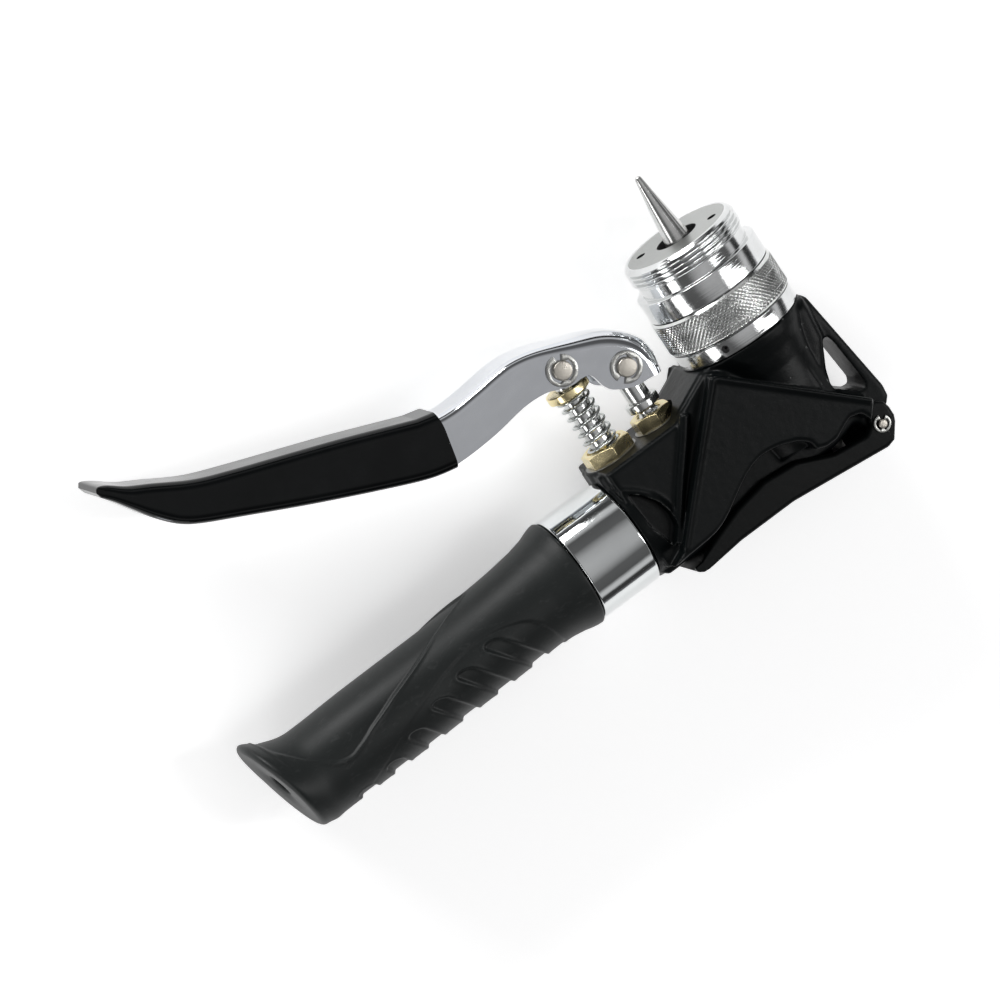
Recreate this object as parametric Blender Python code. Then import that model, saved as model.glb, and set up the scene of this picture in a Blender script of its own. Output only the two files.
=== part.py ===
# Hand hydraulic tube expander: pump lever, oil-reservoir grip, die-cast body,
# threaded nose with a tapered mandrel, and a release lever.
# World X runs along the grip, world Y along the ram, Z is the side normal.
# The tool lies on its side; the origin is on the flat side face, below the
# crossing of the grip axis and the ram axis. Dimensions are millimetres here
# and are written to the mesh in metres.
import bpy
import bmesh
import math
from mathutils import Vector

MM = 0.001
HALF = 20.95                 # height of the mid-plane over the side face

# ---- driving dimensions (mm) ------------------------------------------------
NOSE_TOP_Y = 63.3
THREAD_R, THREAD_PITCH, THREAD_LEN = 19.0, 1.5, 7.0
NECK_R, NECK_LEN = 18.15, 3.45
FLANGE_R, FLANGE_LEN = 20.5, 7.1
KNURL_R, KNURL_LEN = 20.9, 11.8
LOCK_R, LOCK_LEN = 20.5, 5.0
RAM_BORE_R = 13.0
ROD_R = 6.5
MANDREL_BASE_R, MANDREL_TIP_R, MANDREL_OUT = 3.6, 1.05, 22.0
FULCRUM = (-36.45, 42.3)
PUMP_PIN = (-53.4, 53.2)
SEAT_Y = 22.6                # centre of the post's ball foot
BOSS_Y = 21.0
PIN_R = 3.0
EYE_PLAY = 0.5               # radial play of the pump rod's eye on its pin
CHEEK_IN, CHEEK_OUT = 6.5, 8.5
RELEASE_PIVOT = (18.4, -17.5)
GRIP_FRONT_X, GRIP_BACK_X = -83.6, -194.0
N_SEG = 32


# ---- mesh helpers -----------------------------------------------------------
def clear_scene():
    for o in list(bpy.data.objects):
        bpy.data.objects.remove(o, do_unlink=True)
    for m in list(bpy.data.meshes):
        bpy.data.meshes.remove(m)


def material(name, color, metallic, rough):
    m = bpy.data.materials.new(name)
    m.use_nodes = True
    b = m.node_tree.nodes["Principled BSDF"]
    b.inputs["Base Color"].default_value = (*color, 1.0)
    b.inputs["Metallic"].default_value = metallic
    b.inputs["Roughness"].default_value = rough
    return m


LOOKS = {
    "black_body": ((0.02, 0.022, 0.022), 0.0, 0.4),
    "chrome": ((0.8, 0.8, 0.8), 1.0, 0.12),
    "steel": ((0.55, 0.55, 0.53), 1.0, 0.35),
    "brass": ((0.78, 0.62, 0.3), 1.0, 0.3),
    "rubber": ((0.03, 0.03, 0.03), 0.0, 0.7),
    "vinyl": ((0.015, 0.015, 0.018), 0.0, 0.15),
    "spring": ((0.6, 0.6, 0.6), 1.0, 0.3),
}


def mesh_object(name, verts, faces):
    me = bpy.data.meshes.new(name)
    me.from_pydata([(x * MM, y * MM, (z + HALF) * MM) for x, y, z in verts], [], faces)
    bm = bmesh.new()
    bm.from_mesh(me)
    bmesh.ops.remove_doubles(bm, verts=bm.verts, dist=1e-7)
    bmesh.ops.recalc_face_normals(bm, faces=bm.faces)
    bm.to_mesh(me)
    bm.free()
    o = bpy.data.objects.new(name, me)
    bpy.context.scene.collection.objects.link(o)
    return o


def basis(axis):
    return {
        "x": (Vector((1, 0, 0)), Vector((0, 1, 0)), Vector((0, 0, 1))),
        "y": (Vector((0, 1, 0)), Vector((0, 0, 1)), Vector((1, 0, 0))),
        "z": (Vector((0, 0, 1)), Vector((1, 0, 0)), Vector((0, 1, 0))),
    }[axis]


def lathe(name, profile, axis, centre=(0, 0, 0), n=N_SEG, turn=0.0):
    """Closed (t, r) profile turned round an axis; t runs along the axis."""
    a, u, v = basis(axis)
    c = Vector(centre)
    verts, index = [], []
    for t, r in profile:
        if r <= 1e-6:
            index.append([len(verts)] * n)
            verts.append(tuple(c + a * t))
        else:
            index.append([len(verts) + k for k in range(n)])
            for k in range(n):
                ang = turn + 2 * math.pi * k / n
                p = c + a * t + u * (r * math.cos(ang)) + v * (r * math.sin(ang))
                verts.append(tuple(p))
    faces = []
    m = len(profile)
    for i in range(m):
        j = (i + 1) % m
        for k in range(n):
            q = [index[i][k], index[i][(k + 1) % n], index[j][(k + 1) % n], index[j][k]]
            f = []
            for w in q:
                if w not in f:
                    f.append(w)
            if len(f) >= 3:
                faces.append(f)
    return mesh_object(name, verts, faces)


def rod(name, axis, p, t0, t1, r, n=24, turn=0.0):
    return lathe(name, [(t0, 0), (t0, r), (t1, r), (t1, 0)], axis, p, n, turn)


def inset(poly, d):
    """Move each point of a closed outline inwards by d (mitred, clipped)."""
    n = len(poly)
    area = sum(poly[i][0] * poly[(i + 1) % n][1] - poly[(i + 1) % n][0] * poly[i][1] for i in range(n))
    sgn = 1.0 if area > 0 else -1.0
    out = []
    for i in range(n):
        p0, p1, p2 = Vector(poly[i - 1]), Vector(poly[i]), Vector(poly[(i + 1) % n])
        e1, e2 = (p1 - p0).normalized(), (p2 - p1).normalized()
        n1, n2 = Vector((-e1.y, e1.x)) * sgn, Vector((-e2.y, e2.x)) * sgn
        b = n1 + n2
        if b.length < 1e-6:
            b = n1
        b.normalize()
        k = max(b.dot(n1), 0.45)
        out.append(tuple(p1 + b * (d / k)))
    return out


def prism(name, outline, levels):
    """Outline lofted through (z, inset) levels and capped."""
    n = len(outline)
    verts, faces = [], []
    for z, d in levels:
        ring = inset(outline, d) if abs(d) > 1e-9 else outline
        verts += [(x, y, z) for x, y in ring]
    for i in range(len(levels) - 1):
        for k in range(n):
            a, b = i * n + k, i * n + (k + 1) % n
            faces.append([a, b, b + n, a + n])
    faces.append(list(range(n))[::-1])
    faces.append([(len(levels) - 1) * n + k for k in range(n)])
    return mesh_object(name, verts, faces)


def slab(name, outline, half, bevel=0.0):
    if bevel:
        c = bevel
        return prism(name, outline, [(-half, c), (-half + c * 0.3, c * 0.3), (-half + c, 0), (half - c, 0), (half - c * 0.3, c * 0.3), (half, c)])
    return prism(name, outline, [(-half, 0), (half, 0)])


def combine(target, others, op):
    for other in others:
        m = target.modifiers.new("b", "BOOLEAN")
        m.operation = op
        m.solver = "EXACT"
        m.object = other
    dg = bpy.context.evaluated_depsgraph_get()
    me = bpy.data.meshes.new_from_object(target.evaluated_get(dg))
    target.modifiers.clear()
    target.data = me
    for other in others:
        bpy.data.objects.remove(other, do_unlink=True)
    return target


def union(target, *others):
    return combine(target, others, "UNION")


def cut(target, *others):
    return combine(target, others, "DIFFERENCE")


def common(target, *others):
    return combine(target, others, "INTERSECT")


def finish(o, look):
    if look not in MATS:
        c, me, ro = LOOKS[look]
        MATS[look] = material(look, c, me, ro)
    m = MATS[look].copy()
    m.name = look + "_" + o.name
    o.data.materials.clear()
    o.data.materials.append(m)
    return o


def origin_at(o, x, y, z=0.0):
    """Put the object's origin on its joint axis without moving its mesh."""
    p = Vector((x * MM, y * MM, (z + HALF) * MM))
    for v in o.data.vertices:
        v.co -= p
    o.location = p
    return o


def ring_profile(r0, r1, t0, t1, c=0.3):
    return [(t0, r0), (t0, r1 - c), (t0 + c, r1), (t1 - c, r1), (t1, r1 - c), (t1, r0)]


def helix(name, axis, centre, r, wire, t0, t1, turns, steps=10, n=5, hand=1):
    """Round wire wound round an axis, with closed flat-lying end turns."""
    a, u, v = basis(axis)
    c = Vector(centre)
    total = int(turns * steps)
    verts, faces = [], []
    lead = 0.75
    for i in range(total + 1):
        s = i / total
        w = s * turns
        dead = wire * 2 * 1.04
        span = (t1 - t0) - 2 * wire
        pitch = (span - 2 * lead * dead) / (turns - 2 * lead)
        if w < lead:
            t = w * dead
        elif w > turns - lead:
            t = span - (turns - w) * dead
        else:
            t = lead * dead + (w - lead) * pitch
        ang = hand * 2 * math.pi * w
        rad = u * math.cos(ang) + v * math.sin(ang)
        mid = c + a * (t0 + wire + t) + rad * r
        for k in range(n):
            q = 2 * math.pi * k / n
            verts.append(tuple(mid + rad * (wire * math.cos(q)) + a * (wire * math.sin(q))))
    for i in range(total):
        for k in range(n):
            p, q = i * n + k, i * n + (k + 1) % n
            faces.append([p, q, q + n, p + n])
    faces.append(list(range(n))[::-1])
    faces.append([total * n + k for k in range(n)])
    return mesh_object(name, verts, faces)


def arc(cx, cy, r, a0, a1, k):
    return [(cx + r * math.cos(math.radians(a0 + (a1 - a0) * i / k)), cy + r * math.sin(math.radians(a0 + (a1 - a0) * i / k))) for i in range(k + 1)]


MATS = {}
clear_scene()

# ---- pump body: one casting -------------------------------------------------
web = [(-62.3, -15.0), (-60.0, -17.0), (-51.0, -17.0), (-20.0, -15.4), (4.0, -15.6), (13.0, -13.2), (13.0, 0.0), (4.0, 20.0), (-33.0, 20.0), (-35.5, 21.0), (-62.3, 21.0)]
body = slab("pump_body", web, 9.3, 0.8)
block_low = [(-60.9, -13.1), (-53.5, -13.1), (-44.0, -12.6), (-38.0, -10.4), (-31.4, -6.4), (-25.6, -3.3), (-19.9, -1.6), (-13.6, -2.5), (-7.6, -4.7), (-4.4, -7.4), (-4.0, -10.6), (9.2, -11.4)]
block = slab("c1", block_low + [(9.2, 18.0), (-20.5, 28.3), (-31.6, 22.9), (-35.0, 21.0), (-60.9, 21.0)], 15.5, 1.6)
boss = lathe("c2", [(-62.3, 0), (-62.3, 16.2), (-61.5, 17.2), (-52.0, 17.2), (-47.0, 13.0), (-47.0, 0)], "x", (0, 0, 0), 32)
gusset_up = [(9.2, -11.4), (14.9, -13.0), (18.9, -8.2), (-18.9, 27.7), (-55.2, -11.1), (-53.5, -13.1)]
gusset = slab("c3", [(-53.5, -13.1), (-44.0, -12.6), (-38.0, -10.4), (-31.4, -6.4), (-25.6, -3.3), (-19.9, -1.6), (-13.6, -2.5), (-7.6, -4.7), (-4.4, -7.4), (-4.0, -10.6), (2.4, -11.2), (9.2, -11.4), (14.9, -13.0), (18.9, -8.2), (-18.9, 27.2), (-55.2, -11.1)], HALF, 0.9)
barrel = lathe("c4", [(-8.0, 0), (-8.0, 17.5), (10.0, 18.3), (19.0, 18.8), (25.5, 19.6), (28.3, 20.3), (28.3, 0)], "y", (0, 0, 0), 36)
# the strut down the front, with its window, and the lug for the release pin
strut = slab("c5", [(8.0, 28.3), (20.2, 28.3), (21.2, 26.5), (26.0, -9.0), (25.6, -13.0), (23.6, -14.6), (22.3, -14.9), (21.2, -20.1), (18.6, -20.9), (15.9, -20.2), (14.6, -17.6), (13.5, -14.4), (8.0, -11.0)], 9.3, 0.9)
body = union(body, block, boss, gusset, barrel, strut)
window = slab("k1", [(19.0, 12.0), (19.9, 10.8), (21.2, -4.2), (20.4, -6.0), (18.6, -6.0), (12.6, -0.4), (12.3, 1.6), (18.0, 11.6)], 30.0)
relief = [(-52.6, 8.5), (-45.0, 7.0), (-39.0, 0.6), (-44.5, -6.5), (-52.6, -9.0)]
pocket = [prism("k2", [(-55.2, 12.0), (-47.5, 10.8), (-41.8, 4.6), (-53.4, -7.4)], [(s * 13.2, 0.8), (s * 19.0, -0.8)]) for s in (1, -1)]
body = cut(
    body,
    window,
    *pocket,
    lathe("k3", [(-4.0, 0), (-4.0, RAM_BORE_R), (13.6, RAM_BORE_R), (13.6, 16.8), (30.0, 16.8), (30.0, 0)], "y", (0, 0, 0), 40),
    lathe("k4", [(-8.5, 0), (-8.5, 4.0), (15.0, 4.0), (15.0, 5.6), (22.0, 5.6), (22.0, 0)], "y", (PUMP_PIN[0], 0, 0), 28),
    lathe("k5", [(14.0, 0), (14.0, 5.6), (BOSS_Y, 5.6), (BOSS_Y, 7.4), (32.0, 7.4), (32.0, 0)], "y", (FULCRUM[0], 0, 0), 28),
    rod("k6", "x", (0, 0, 0), -63.0, -58.4, 11.3, 36),
    rod("k7", "x", (0, -6.2, 0), -59.0, -10.0, 1.3, 12),
    rod("k8", "z", (*RELEASE_PIVOT, 0), -12.0, 12.0, 1.48, 20),
    lathe("k9", [(-17.0, 0), (-17.0, 2.6), (-8.0, 2.6), (-8.0, 1.2), (-3.0, 1.2), (-3.0, 0)], "y", (6.0, 0, 0), 20),
)
finish(body, "black_body")

# ---- nose, knurled ring, lock ring ------------------------------------------
y = NOSE_TOP_Y
prof = [(14.2, RAM_BORE_R), (14.2, 16.5), (29.0, 16.5), (29.0, 16.6), (45.4, 16.6), (45.4, FLANGE_R - 0.5), (45.9, FLANGE_R), (52.4, FLANGE_R), (52.85, FLANGE_R - 0.45), (52.85, NECK_R), (56.3, NECK_R)]
t = 56.3
while t < y - THREAD_PITCH * 0.7:
    prof += [(t + 0.05, THREAD_R - 0.85), (t + THREAD_PITCH * 0.45, THREAD_R), (t + THREAD_PITCH * 0.6, THREAD_R)]
    t += THREAD_PITCH
prof += [(y - 0.8, THREAD_R - 0.8), (y, THREAD_R - 1.1), (y, 6.85), (y - 5.0, 6.85), (y - 5.0, ROD_R + 0.1), (50.5, ROD_R + 0.1), (50.5, RAM_BORE_R)]
nose = lathe("nose_cylinder", prof, "y", (0, 0, 0), 36)
nose = cut(nose, *[rod("k", "y", (12.6 * math.cos(a), 0, 12.6 * math.sin(a)), y - 3.5, y + 1.0, 1.5, 14) for a in (math.radians(60), math.radians(240))])
finish(nose, "chrome")

knurl = lathe("knurled_ring", [(33.6, 16.9), (33.6, KNURL_R - 0.9), (34.4, KNURL_R), (44.2, KNURL_R), (45.0, KNURL_R - 0.9), (45.0, 16.9)], "y", (0, 0, 0), 40)
finish(knurl, "chrome")
lock = lathe("lock_ring", ring_profile(16.9, LOCK_R, 28.5, 33.3, 0.35), "y", (0, 0, 0), 40)
ang = math.radians(30)
ux, uz = -math.sin(ang), math.cos(ang)


def radial(name, r, a, b, yy, n=18):
    """Rod along the radial direction of the lock screw, from radius a to b."""
    d, s, w = Vector((ux, 0, uz)), Vector((uz, 0, -ux)), Vector((0, 1, 0))
    c = Vector((0, yy, 0))
    verts, faces = [], []
    for t_ in (a, b):
        for k in range(n):
            q = 2 * math.pi * k / n
            verts.append(tuple(c + d * t_ + s * (r * math.cos(q)) + w * (r * math.sin(q))))
    for k in range(n):
        faces.append([k, (k + 1) % n, n + (k + 1) % n, n + k])
    faces.append(list(range(n))[::-1])
    faces.append([n + k for k in range(n)])
    return mesh_object(name, verts, faces)


lock = cut(lock, radial("k", 1.35, 15.5, 22.0, 30.9))
finish(lock, "chrome")
screw = cut(radial("lock_screw", 1.25, 17.0, 19.6, 30.9), radial("k", 0.6, 18.4, 20.5, 30.9, 6))
finish(screw, "steel")

# ---- ram and mandrel (slide along +Y) ---------------------------------------
ram = lathe("ram_piston", [(14.6, 0), (14.6, 11.8), (15.4, 12.8), (18.4, 12.8), (18.4, 11.0), (21.0, 11.0), (21.0, 12.8), (24.0, 12.8), (24.0, ROD_R), (60.0, ROD_R), (60.0, 2.3), (54.0, 2.3), (54.0, 0)], "y", (0, 0, 0), 28)
finish(ram, "steel")
mandrel = lathe("mandrel", [(54.4, 0), (54.4, 2.1), (60.3, 2.1), (60.3, MANDREL_BASE_R), (63.3, MANDREL_BASE_R), (84.5, MANDREL_TIP_R), (85.1, 0.7), (85.3, 0)], "y", (0, 0, 0), 28)
finish(mandrel, "steel")
seal = lathe("ram_seal", [(18.7, 11.2), (18.7, 12.9), (20.7, 12.9), (20.7, 11.2)], "y", (0, 0, 0), 28)
finish(seal, "rubber")
rspring = helix("ram_spring", "y", (0, 0, 0), 9.4, 1.0, 24.15, 50.35, 6.5)
finish(rspring, "spring")
for o in (ram, mandrel, seal, rspring):
    origin_at(o, 0, 14.6)

# ---- reservoir and grip -----------------------------------------------------
collar = lathe("reservoir_collar", [(-62.6, 11.3), (-62.6, 16.6), (-63.4, 17.5), (-77.6, 17.5), (-79.2, 17.2), (-80.4, 16.2), (-80.9, 14.6), (-83.0, 14.2), (-83.0, 11.3)], "x", (0, 0, 0), 36)
finish(collar, "chrome")
tube = lathe("reservoir_tube", [(-58.7, 9.4), (-58.7, 11.0), (-182.0, 11.0), (-182.0, 9.4)], "x", (0, 0, 0), 32)
finish(tube, "steel")
bladder = lathe("oil_bladder", [(-60.0, 7.4), (-60.0, 9.1), (-172.0, 9.1), (-174.0, 8.0), (-174.6, 0), (-173.4, 0), (-172.6, 7.0), (-170.0, 7.9), (-62.0, 7.9)], "x", (0, 0, 0), 24)
finish(bladder, "rubber")
plug = lathe("reservoir_plug", [(-176.0, 0), (-176.0, 9.1), (-182.4, 9.1), (-182.4, 11.0), (-186.0, 11.0), (-186.0, 3.0), (-184.0, 3.0), (-184.0, 0)], "x", (0, 0, 0), 32)
finish(plug, "steel")


def lerp_table(table, x):
    for (x0, *a), (x1, *b) in zip(table, table[1:]):
        if (x0 - x) * (x1 - x) <= 0:
            f = (x - x0) / (x1 - x0)
            f = f * f * (3 - 2 * f)
            return [p + (q - p) * f for p, q in zip(a, b)]
    return list(table[-1][1:])


# x, upper reach, lower reach of the moulded sleeve from the grip axis
GRIP = [(-83.6, 17.0, 17.0), (-84.4, 17.8, 18.1), (-86.5, 17.8, 18.1), (-95.0, 15.2, 16.2), (-104.0, 14.2, 15.6), (-113.0, 13.5, 16.0), (-125.0, 13.0, 16.1), (-134.0, 12.9, 16.2), (-152.0, 12.8, 16.8), (-163.0, 12.6, 17.2), (-182.5, 12.3, 17.3), (-187.3, 14.5, 16.6), (-192.6, 16.8, 14.6)]
FINGERS = [(-118.0, 0.9), (-143.0, 0.9), (-173.0, 0.9)]
n_ring = 26
stations = [g[0] for g in GRIP]
stations = sorted(set(stations + [-90.0, -118.0, -143.0, -173.0]), reverse=True)
verts, faces = [], []
rings = []
for x in stations:
    up, low = lerp_table(GRIP, x)
    bump = sum(-h * math.exp(-(((x - f) / 5.0) ** 2)) for f, h in FINGERS)
    c, r = (up - low) / 2, (up + low) / 2
    ring = []
    for k in range(n_ring):
        q = 2 * math.pi * k / n_ring
        cy, cz = math.cos(q), math.sin(q)
        rr = r + bump * max(0.0, -cy) ** 2
        xx = x
        if x < -186.0:
            xx = x + (cy * (-4.3)) * min(1.0, (-186.0 - x) / 5.0)
        ring.append(len(verts))
        verts.append((xx, c + rr * cy, rr * 0.985 * cz))
    rings.append(ring)
for r0, r1 in zip(rings, rings[1:]):
    for k in range(n_ring):
        faces.append([r0[k], r0[(k + 1) % n_ring], r1[(k + 1) % n_ring], r1[k]])
faces.append(rings[0][::-1])
faces.append(rings[-1])
grip = mesh_object("grip_sleeve", verts, faces)
grip = cut(grip, rod("k", "x", (0, 0, 0), -82.0, -186.6, 11.4, 32), rod("k", "x", (0, 0, 0), -180.0, -204.0, 5.0, 24))
finish(grip, "rubber")

# ---- brass nuts, fulcrum post, pump rod -------------------------------------
def hex_nut(name, x, af, t0, t1, chamfer=0.5):
    r = af / 2 / math.cos(math.pi / 6)
    o = lathe(name, [(t0, 0), (t0, r), (t1, r), (t1, 0)], "y", (x, 0, 0), 6, math.radians(0))
    c = lathe("k", [(t0 - 0.1, 0), (t0 - 0.1, r * 1.01), (t1 - (r - af / 2) * 0.6, r * 1.01), (t1 + 0.01, af / 2 * 0.99), (t1 + 0.01, 0)], "y", (x, 0, 0), 36)
    return common(o, c)


gland = hex_nut("pump_gland_nut", PUMP_PIN[0], 14.6, BOSS_Y + 0.15, 25.3)
gland = union(gland, rod("k", "y", (PUMP_PIN[0], 0, 0), 15.3, 22.5, 5.4, 28))
gland = cut(gland, lathe("k", [(10.0, 0), (10.0, 4.02), (24.2, 4.02), (24.2, 5.9), (30.0, 5.9), (30.0, 0)], "y", (PUMP_PIN[0], 0, 0), 28))
finish(gland, "brass")
fnut = hex_nut("fulcrum_nut", FULCRUM[0], 12.0, BOSS_Y + 0.15, 25.3)
fnut = union(fnut, rod("k", "y", (FULCRUM[0], 0, 0), 14.6, 22.5, 5.4, 28))
fnut = cut(fnut, lathe("k", [(10.0, 0), (10.0, 4.35), (23.9, 4.35), (24.3, 4.0), (30.0, 4.0), (30.0, 0)], "y", (FULCRUM[0], 0, 0), 28))
finish(fnut, "brass")
seat = lathe("ball_seat", [(14.9, 0), (14.9, 4.2), (17.2, 4.2), (18.7, 2.7), (18.3, 2.0), (17.7, 0)], "y", (FULCRUM[0], 0, 0), 24)
finish(seat, "steel")

ball = [(SEAT_Y + 4.2 * math.sin(math.radians(a)), 4.2 * math.cos(math.radians(a))) for a in range(-70, 51, 20)]
post = lathe("fulcrum_post", [(SEAT_Y - 4.2, 0)] + ball + [(25.75, 3.0), (26.6, 3.0), (26.6, 3.7), (39.5, 3.7), (39.5, 0)], "y", (FULCRUM[0], 0, 0), 22)
post = union(post, slab("c", arc(*FULCRUM, 5.6, 0, 342, 19), 6.1, 0.4))
post = cut(post, rod("k", "z", (*FULCRUM, 0), -8, 8, PIN_R + 0.08, 24))
finish(post, "steel")
pcol = lathe("post_collar", ring_profile(3.85, 5.4, 27.2, 29.9, 0.4), "y", (FULCRUM[0], 0, 0), 32)
finish(pcol, "chrome")
for o in (post, pcol):
    origin_at(o, FULCRUM[0], SEAT_Y)

px = PUMP_PIN[0]
prod = lathe("pump_rod", [(0.4, 0), (0.4, 3.2), (1.0, 3.8), (2.6, 3.8), (2.6, 3.0), (4.4, 3.0), (4.4, 3.85), (42.9, 3.85), (42.9, 3.3), (49.5, 3.3), (49.5, 0)], "y", (px, 0, 0), 28)
prod = union(prod, slab("c", arc(*PUMP_PIN, 5.4, 0, 342, 19), 6.1, 0.4))
prod = cut(prod, rod("k", "z", (*PUMP_PIN, 0), -8, 8, PIN_R + EYE_PLAY, 24))
finish(prod, "steel")
cap = lathe("spring_cap", ring_profile(3.4, 7.0, 43.8, 46.4, 0.35), "y", (px, 0, 0), 36)
finish(cap, "brass")
pseal = lathe("pump_seal", [(2.75, 3.1), (2.75, 3.9), (4.25, 3.9), (4.25, 3.1)], "y", (px, 0, 0), 28)
finish(pseal, "rubber")
pspring = helix("pump_spring", "y", (px, 0, 0), 4.92, 0.48, 24.3, 43.7, 7.4)
finish(pspring, "spring")
for o in (prod, cap, pseal, pspring):
    origin_at(o, px, 24.3)

# ---- lever: pressed channel, open towards the grip --------------------------
LEVER_TOP = [(-187.0, 106.2), (-181.5, 101.6), (-175.0, 97.8), (-163.5, 91.2), (-151.5, 86.3), (-136.3, 80.7), (-121.1, 75.1), (-106.3, 69.0), (-96.0, 65.0), (-88.0, 63.6), (-78.5, 64.0), (-70.0, 64.7), (-64.0, 64.6), (-56.6, 62.9), (-46.0, 59.0), (-36.8, 55.3), (-31.0, 51.0), (-27.2, 46.0), (-26.4, 41.0), (-28.6, 37.2), (-32.3, 35.3), (-37.8, 36.0)]
LEVER_LOW = [(-45.2, 41.2), (-46.0, 43.0), (-46.5, 46.6), (-48.9, 47.3), (-52.8, 47.4), (-57.0, 48.6), (-61.5, 50.6), (-69.1, 50.8), (-81.8, 49.2), (-95.6, 49.0), (-104.4, 51.4), (-118.9, 58.0), (-138.4, 67.0), (-157.2, 76.3), (-171.5, 83.6), (-178.0, 88.0), (-184.5, 98.0)]
outline = LEVER_TOP + LEVER_LOW
WALL = LEVER_TOP[:19]          # up to where the closed end stops
deep = WALL + [(-26.6, 26.0), (-100.0, 26.0), (-184.5, 84.0)]
lever = prism("pump_lever", deep, [(-8.5, 3.0), (-7.9, 1.2), (-6.5, 0.2), (-5.5, 0), (5.5, 0), (6.5, 0.2), (7.9, 1.2), (8.5, 3.0)])
lever = common(lever, slab("k", outline, 12.0))
top_in = inset(deep, 2.0)[: len(WALL)]
gut = prism("k", top_in + [(-28.6, 20.0), (-100.0, 20.0), (-182.5, 80.0)], [(-6.5, 1.0), (-5.5, 0), (5.5, 0), (6.5, 1.0)])
lever = cut(lever, gut, rod("k", "z", (*FULCRUM, 0), -12, 12, PIN_R + 0.06, 24), rod("k", "z", (*PUMP_PIN, 0), -12, 12, PIN_R + 0.06, 24))
finish(lever, "chrome")

sl_top = [(-191.4, 107.6), (-190.0, 108.6), (-187.0, 107.3), (-181.8, 103.1), (-175.2, 99.3), (-163.9, 92.7), (-151.9, 87.8), (-136.7, 82.2), (-121.6, 76.6), (-108.4, 71.3), (-98.0, 67.2), (-92.5, 65.9)]
sl_low = [(-95.4, 47.5), (-104.6, 49.8), (-119.4, 56.5), (-138.9, 65.5), (-157.8, 74.8), (-172.4, 82.2), (-179.4, 87.0), (-183.8, 94.6), (-187.4, 101.2), (-190.8, 105.2)]
sleeve = prism("lever_sleeve", sl_top + sl_low, [(-10.0, 2.6), (-9.2, 1.0), (-7.6, 0), (7.6, 0), (9.2, 1.0), (10.0, 2.6)])
pocket_out = LEVER_TOP[:11] + LEVER_LOW[8:]
pk = prism("k", inset(pocket_out, -0.2), [(-8.75, 0), (8.75, 0)])
sleeve = cut(sleeve, pk)
finish(sleeve, "vinyl")


def pin(name, x, y_, half, r):
    return lathe(name, [(-half, 0), (-half, r - 0.4), (-half + 0.4, r), (half - 0.4, r), (half, r - 0.4), (half, 0)], "z", (x, y_, 0), 24)


fpin = finish(pin("fulcrum_pin", *FULCRUM, 10.4, PIN_R), "steel")
ppin = finish(pin("pump_pin", *PUMP_PIN, 10.4, PIN_R), "steel")
parts_lever = [lever, sleeve, fpin, ppin]
for tag, (cx, cy), r0, r1, z0 in (("fulcrum_clip", FULCRUM, 3.1, 5.0, 8.7), ("pump_clip", PUMP_PIN, 3.1, 5.0, 8.7)):
    for side, s in (("upper", 1), ("lower", -1)):
        c = lathe(tag + "_" + side, ring_profile(r0, r1, min(s * z0, s * (z0 + 0.8)), max(s * z0, s * (z0 + 0.8)), 0.2), "z", (cx, cy, 0), 20)
        parts_lever.append(finish(c, "steel"))
for o in parts_lever:
    origin_at(o, *FULCRUM)

# ---- release lever, its pin, clips and plunger ------------------------------
rl = [(19.9, -10.3), (22.6, -12.6), (23.3, -15.1), (23.1, -17.8), (21.4, -21.0), (19.1, -23.7), (16.7, -24.9), (-16.9, -21.0), (-36.8, -21.1), (-49.6, -22.1), (-52.3, -21.6), (-54.0, -17.6), (-51.5, -18.9), (-43.7, -15.3), (-33.2, -11.9), (-21.4, -9.9), (-9.9, -10.9), (1.0, -15.9), (11.0, -17.8), (14.6, -16.0), (16.9, -12.6)]
rel = slab("release_lever", rl, 12.3, 0.7)
floor_in = [(40.0, 5.0), (40.0, -21.6), (24.6, -21.6), (17.6, -22.9), (16.4, -23.2), (-16.8, -19.4), (-36.8, -19.5), (-49.4, -20.4), (-51.2, -20.3), (-60.0, -20.3), (-60.0, 5.0)]
rel = cut(rel, slab("k", floor_in, 10.6), rod("k", "z", (*RELEASE_PIVOT, 0), -14, 14, 1.55, 20))
finish(rel, "black_body")
rpin = finish(pin("release_pin", *RELEASE_PIVOT, 13.9, 1.4), "steel")
rclips = []
for side, s in (("upper", 1), ("lower", -1)):
    c = lathe("release_clip_" + side, ring_profile(1.5, 2.6, min(s * 12.5, s * 13.2), max(s * 12.5, s * 13.2), 0.15), "z", (*RELEASE_PIVOT, 0), 16)
    rclips.append(finish(c, "steel"))
origin_at(rel, *RELEASE_PIVOT)
plunger = lathe("release_plunger", [(-21.4, 0), (-21.1, 1.2), (-20.2, 2.2), (-12.2, 2.2), (-12.2, 1.5), (-9.6, 1.5), (-9.6, 0)], "y", (6.0, 0, 0), 20)
finish(plunger, "steel")
origin_at(plunger, 6.0, -21.4)
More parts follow.
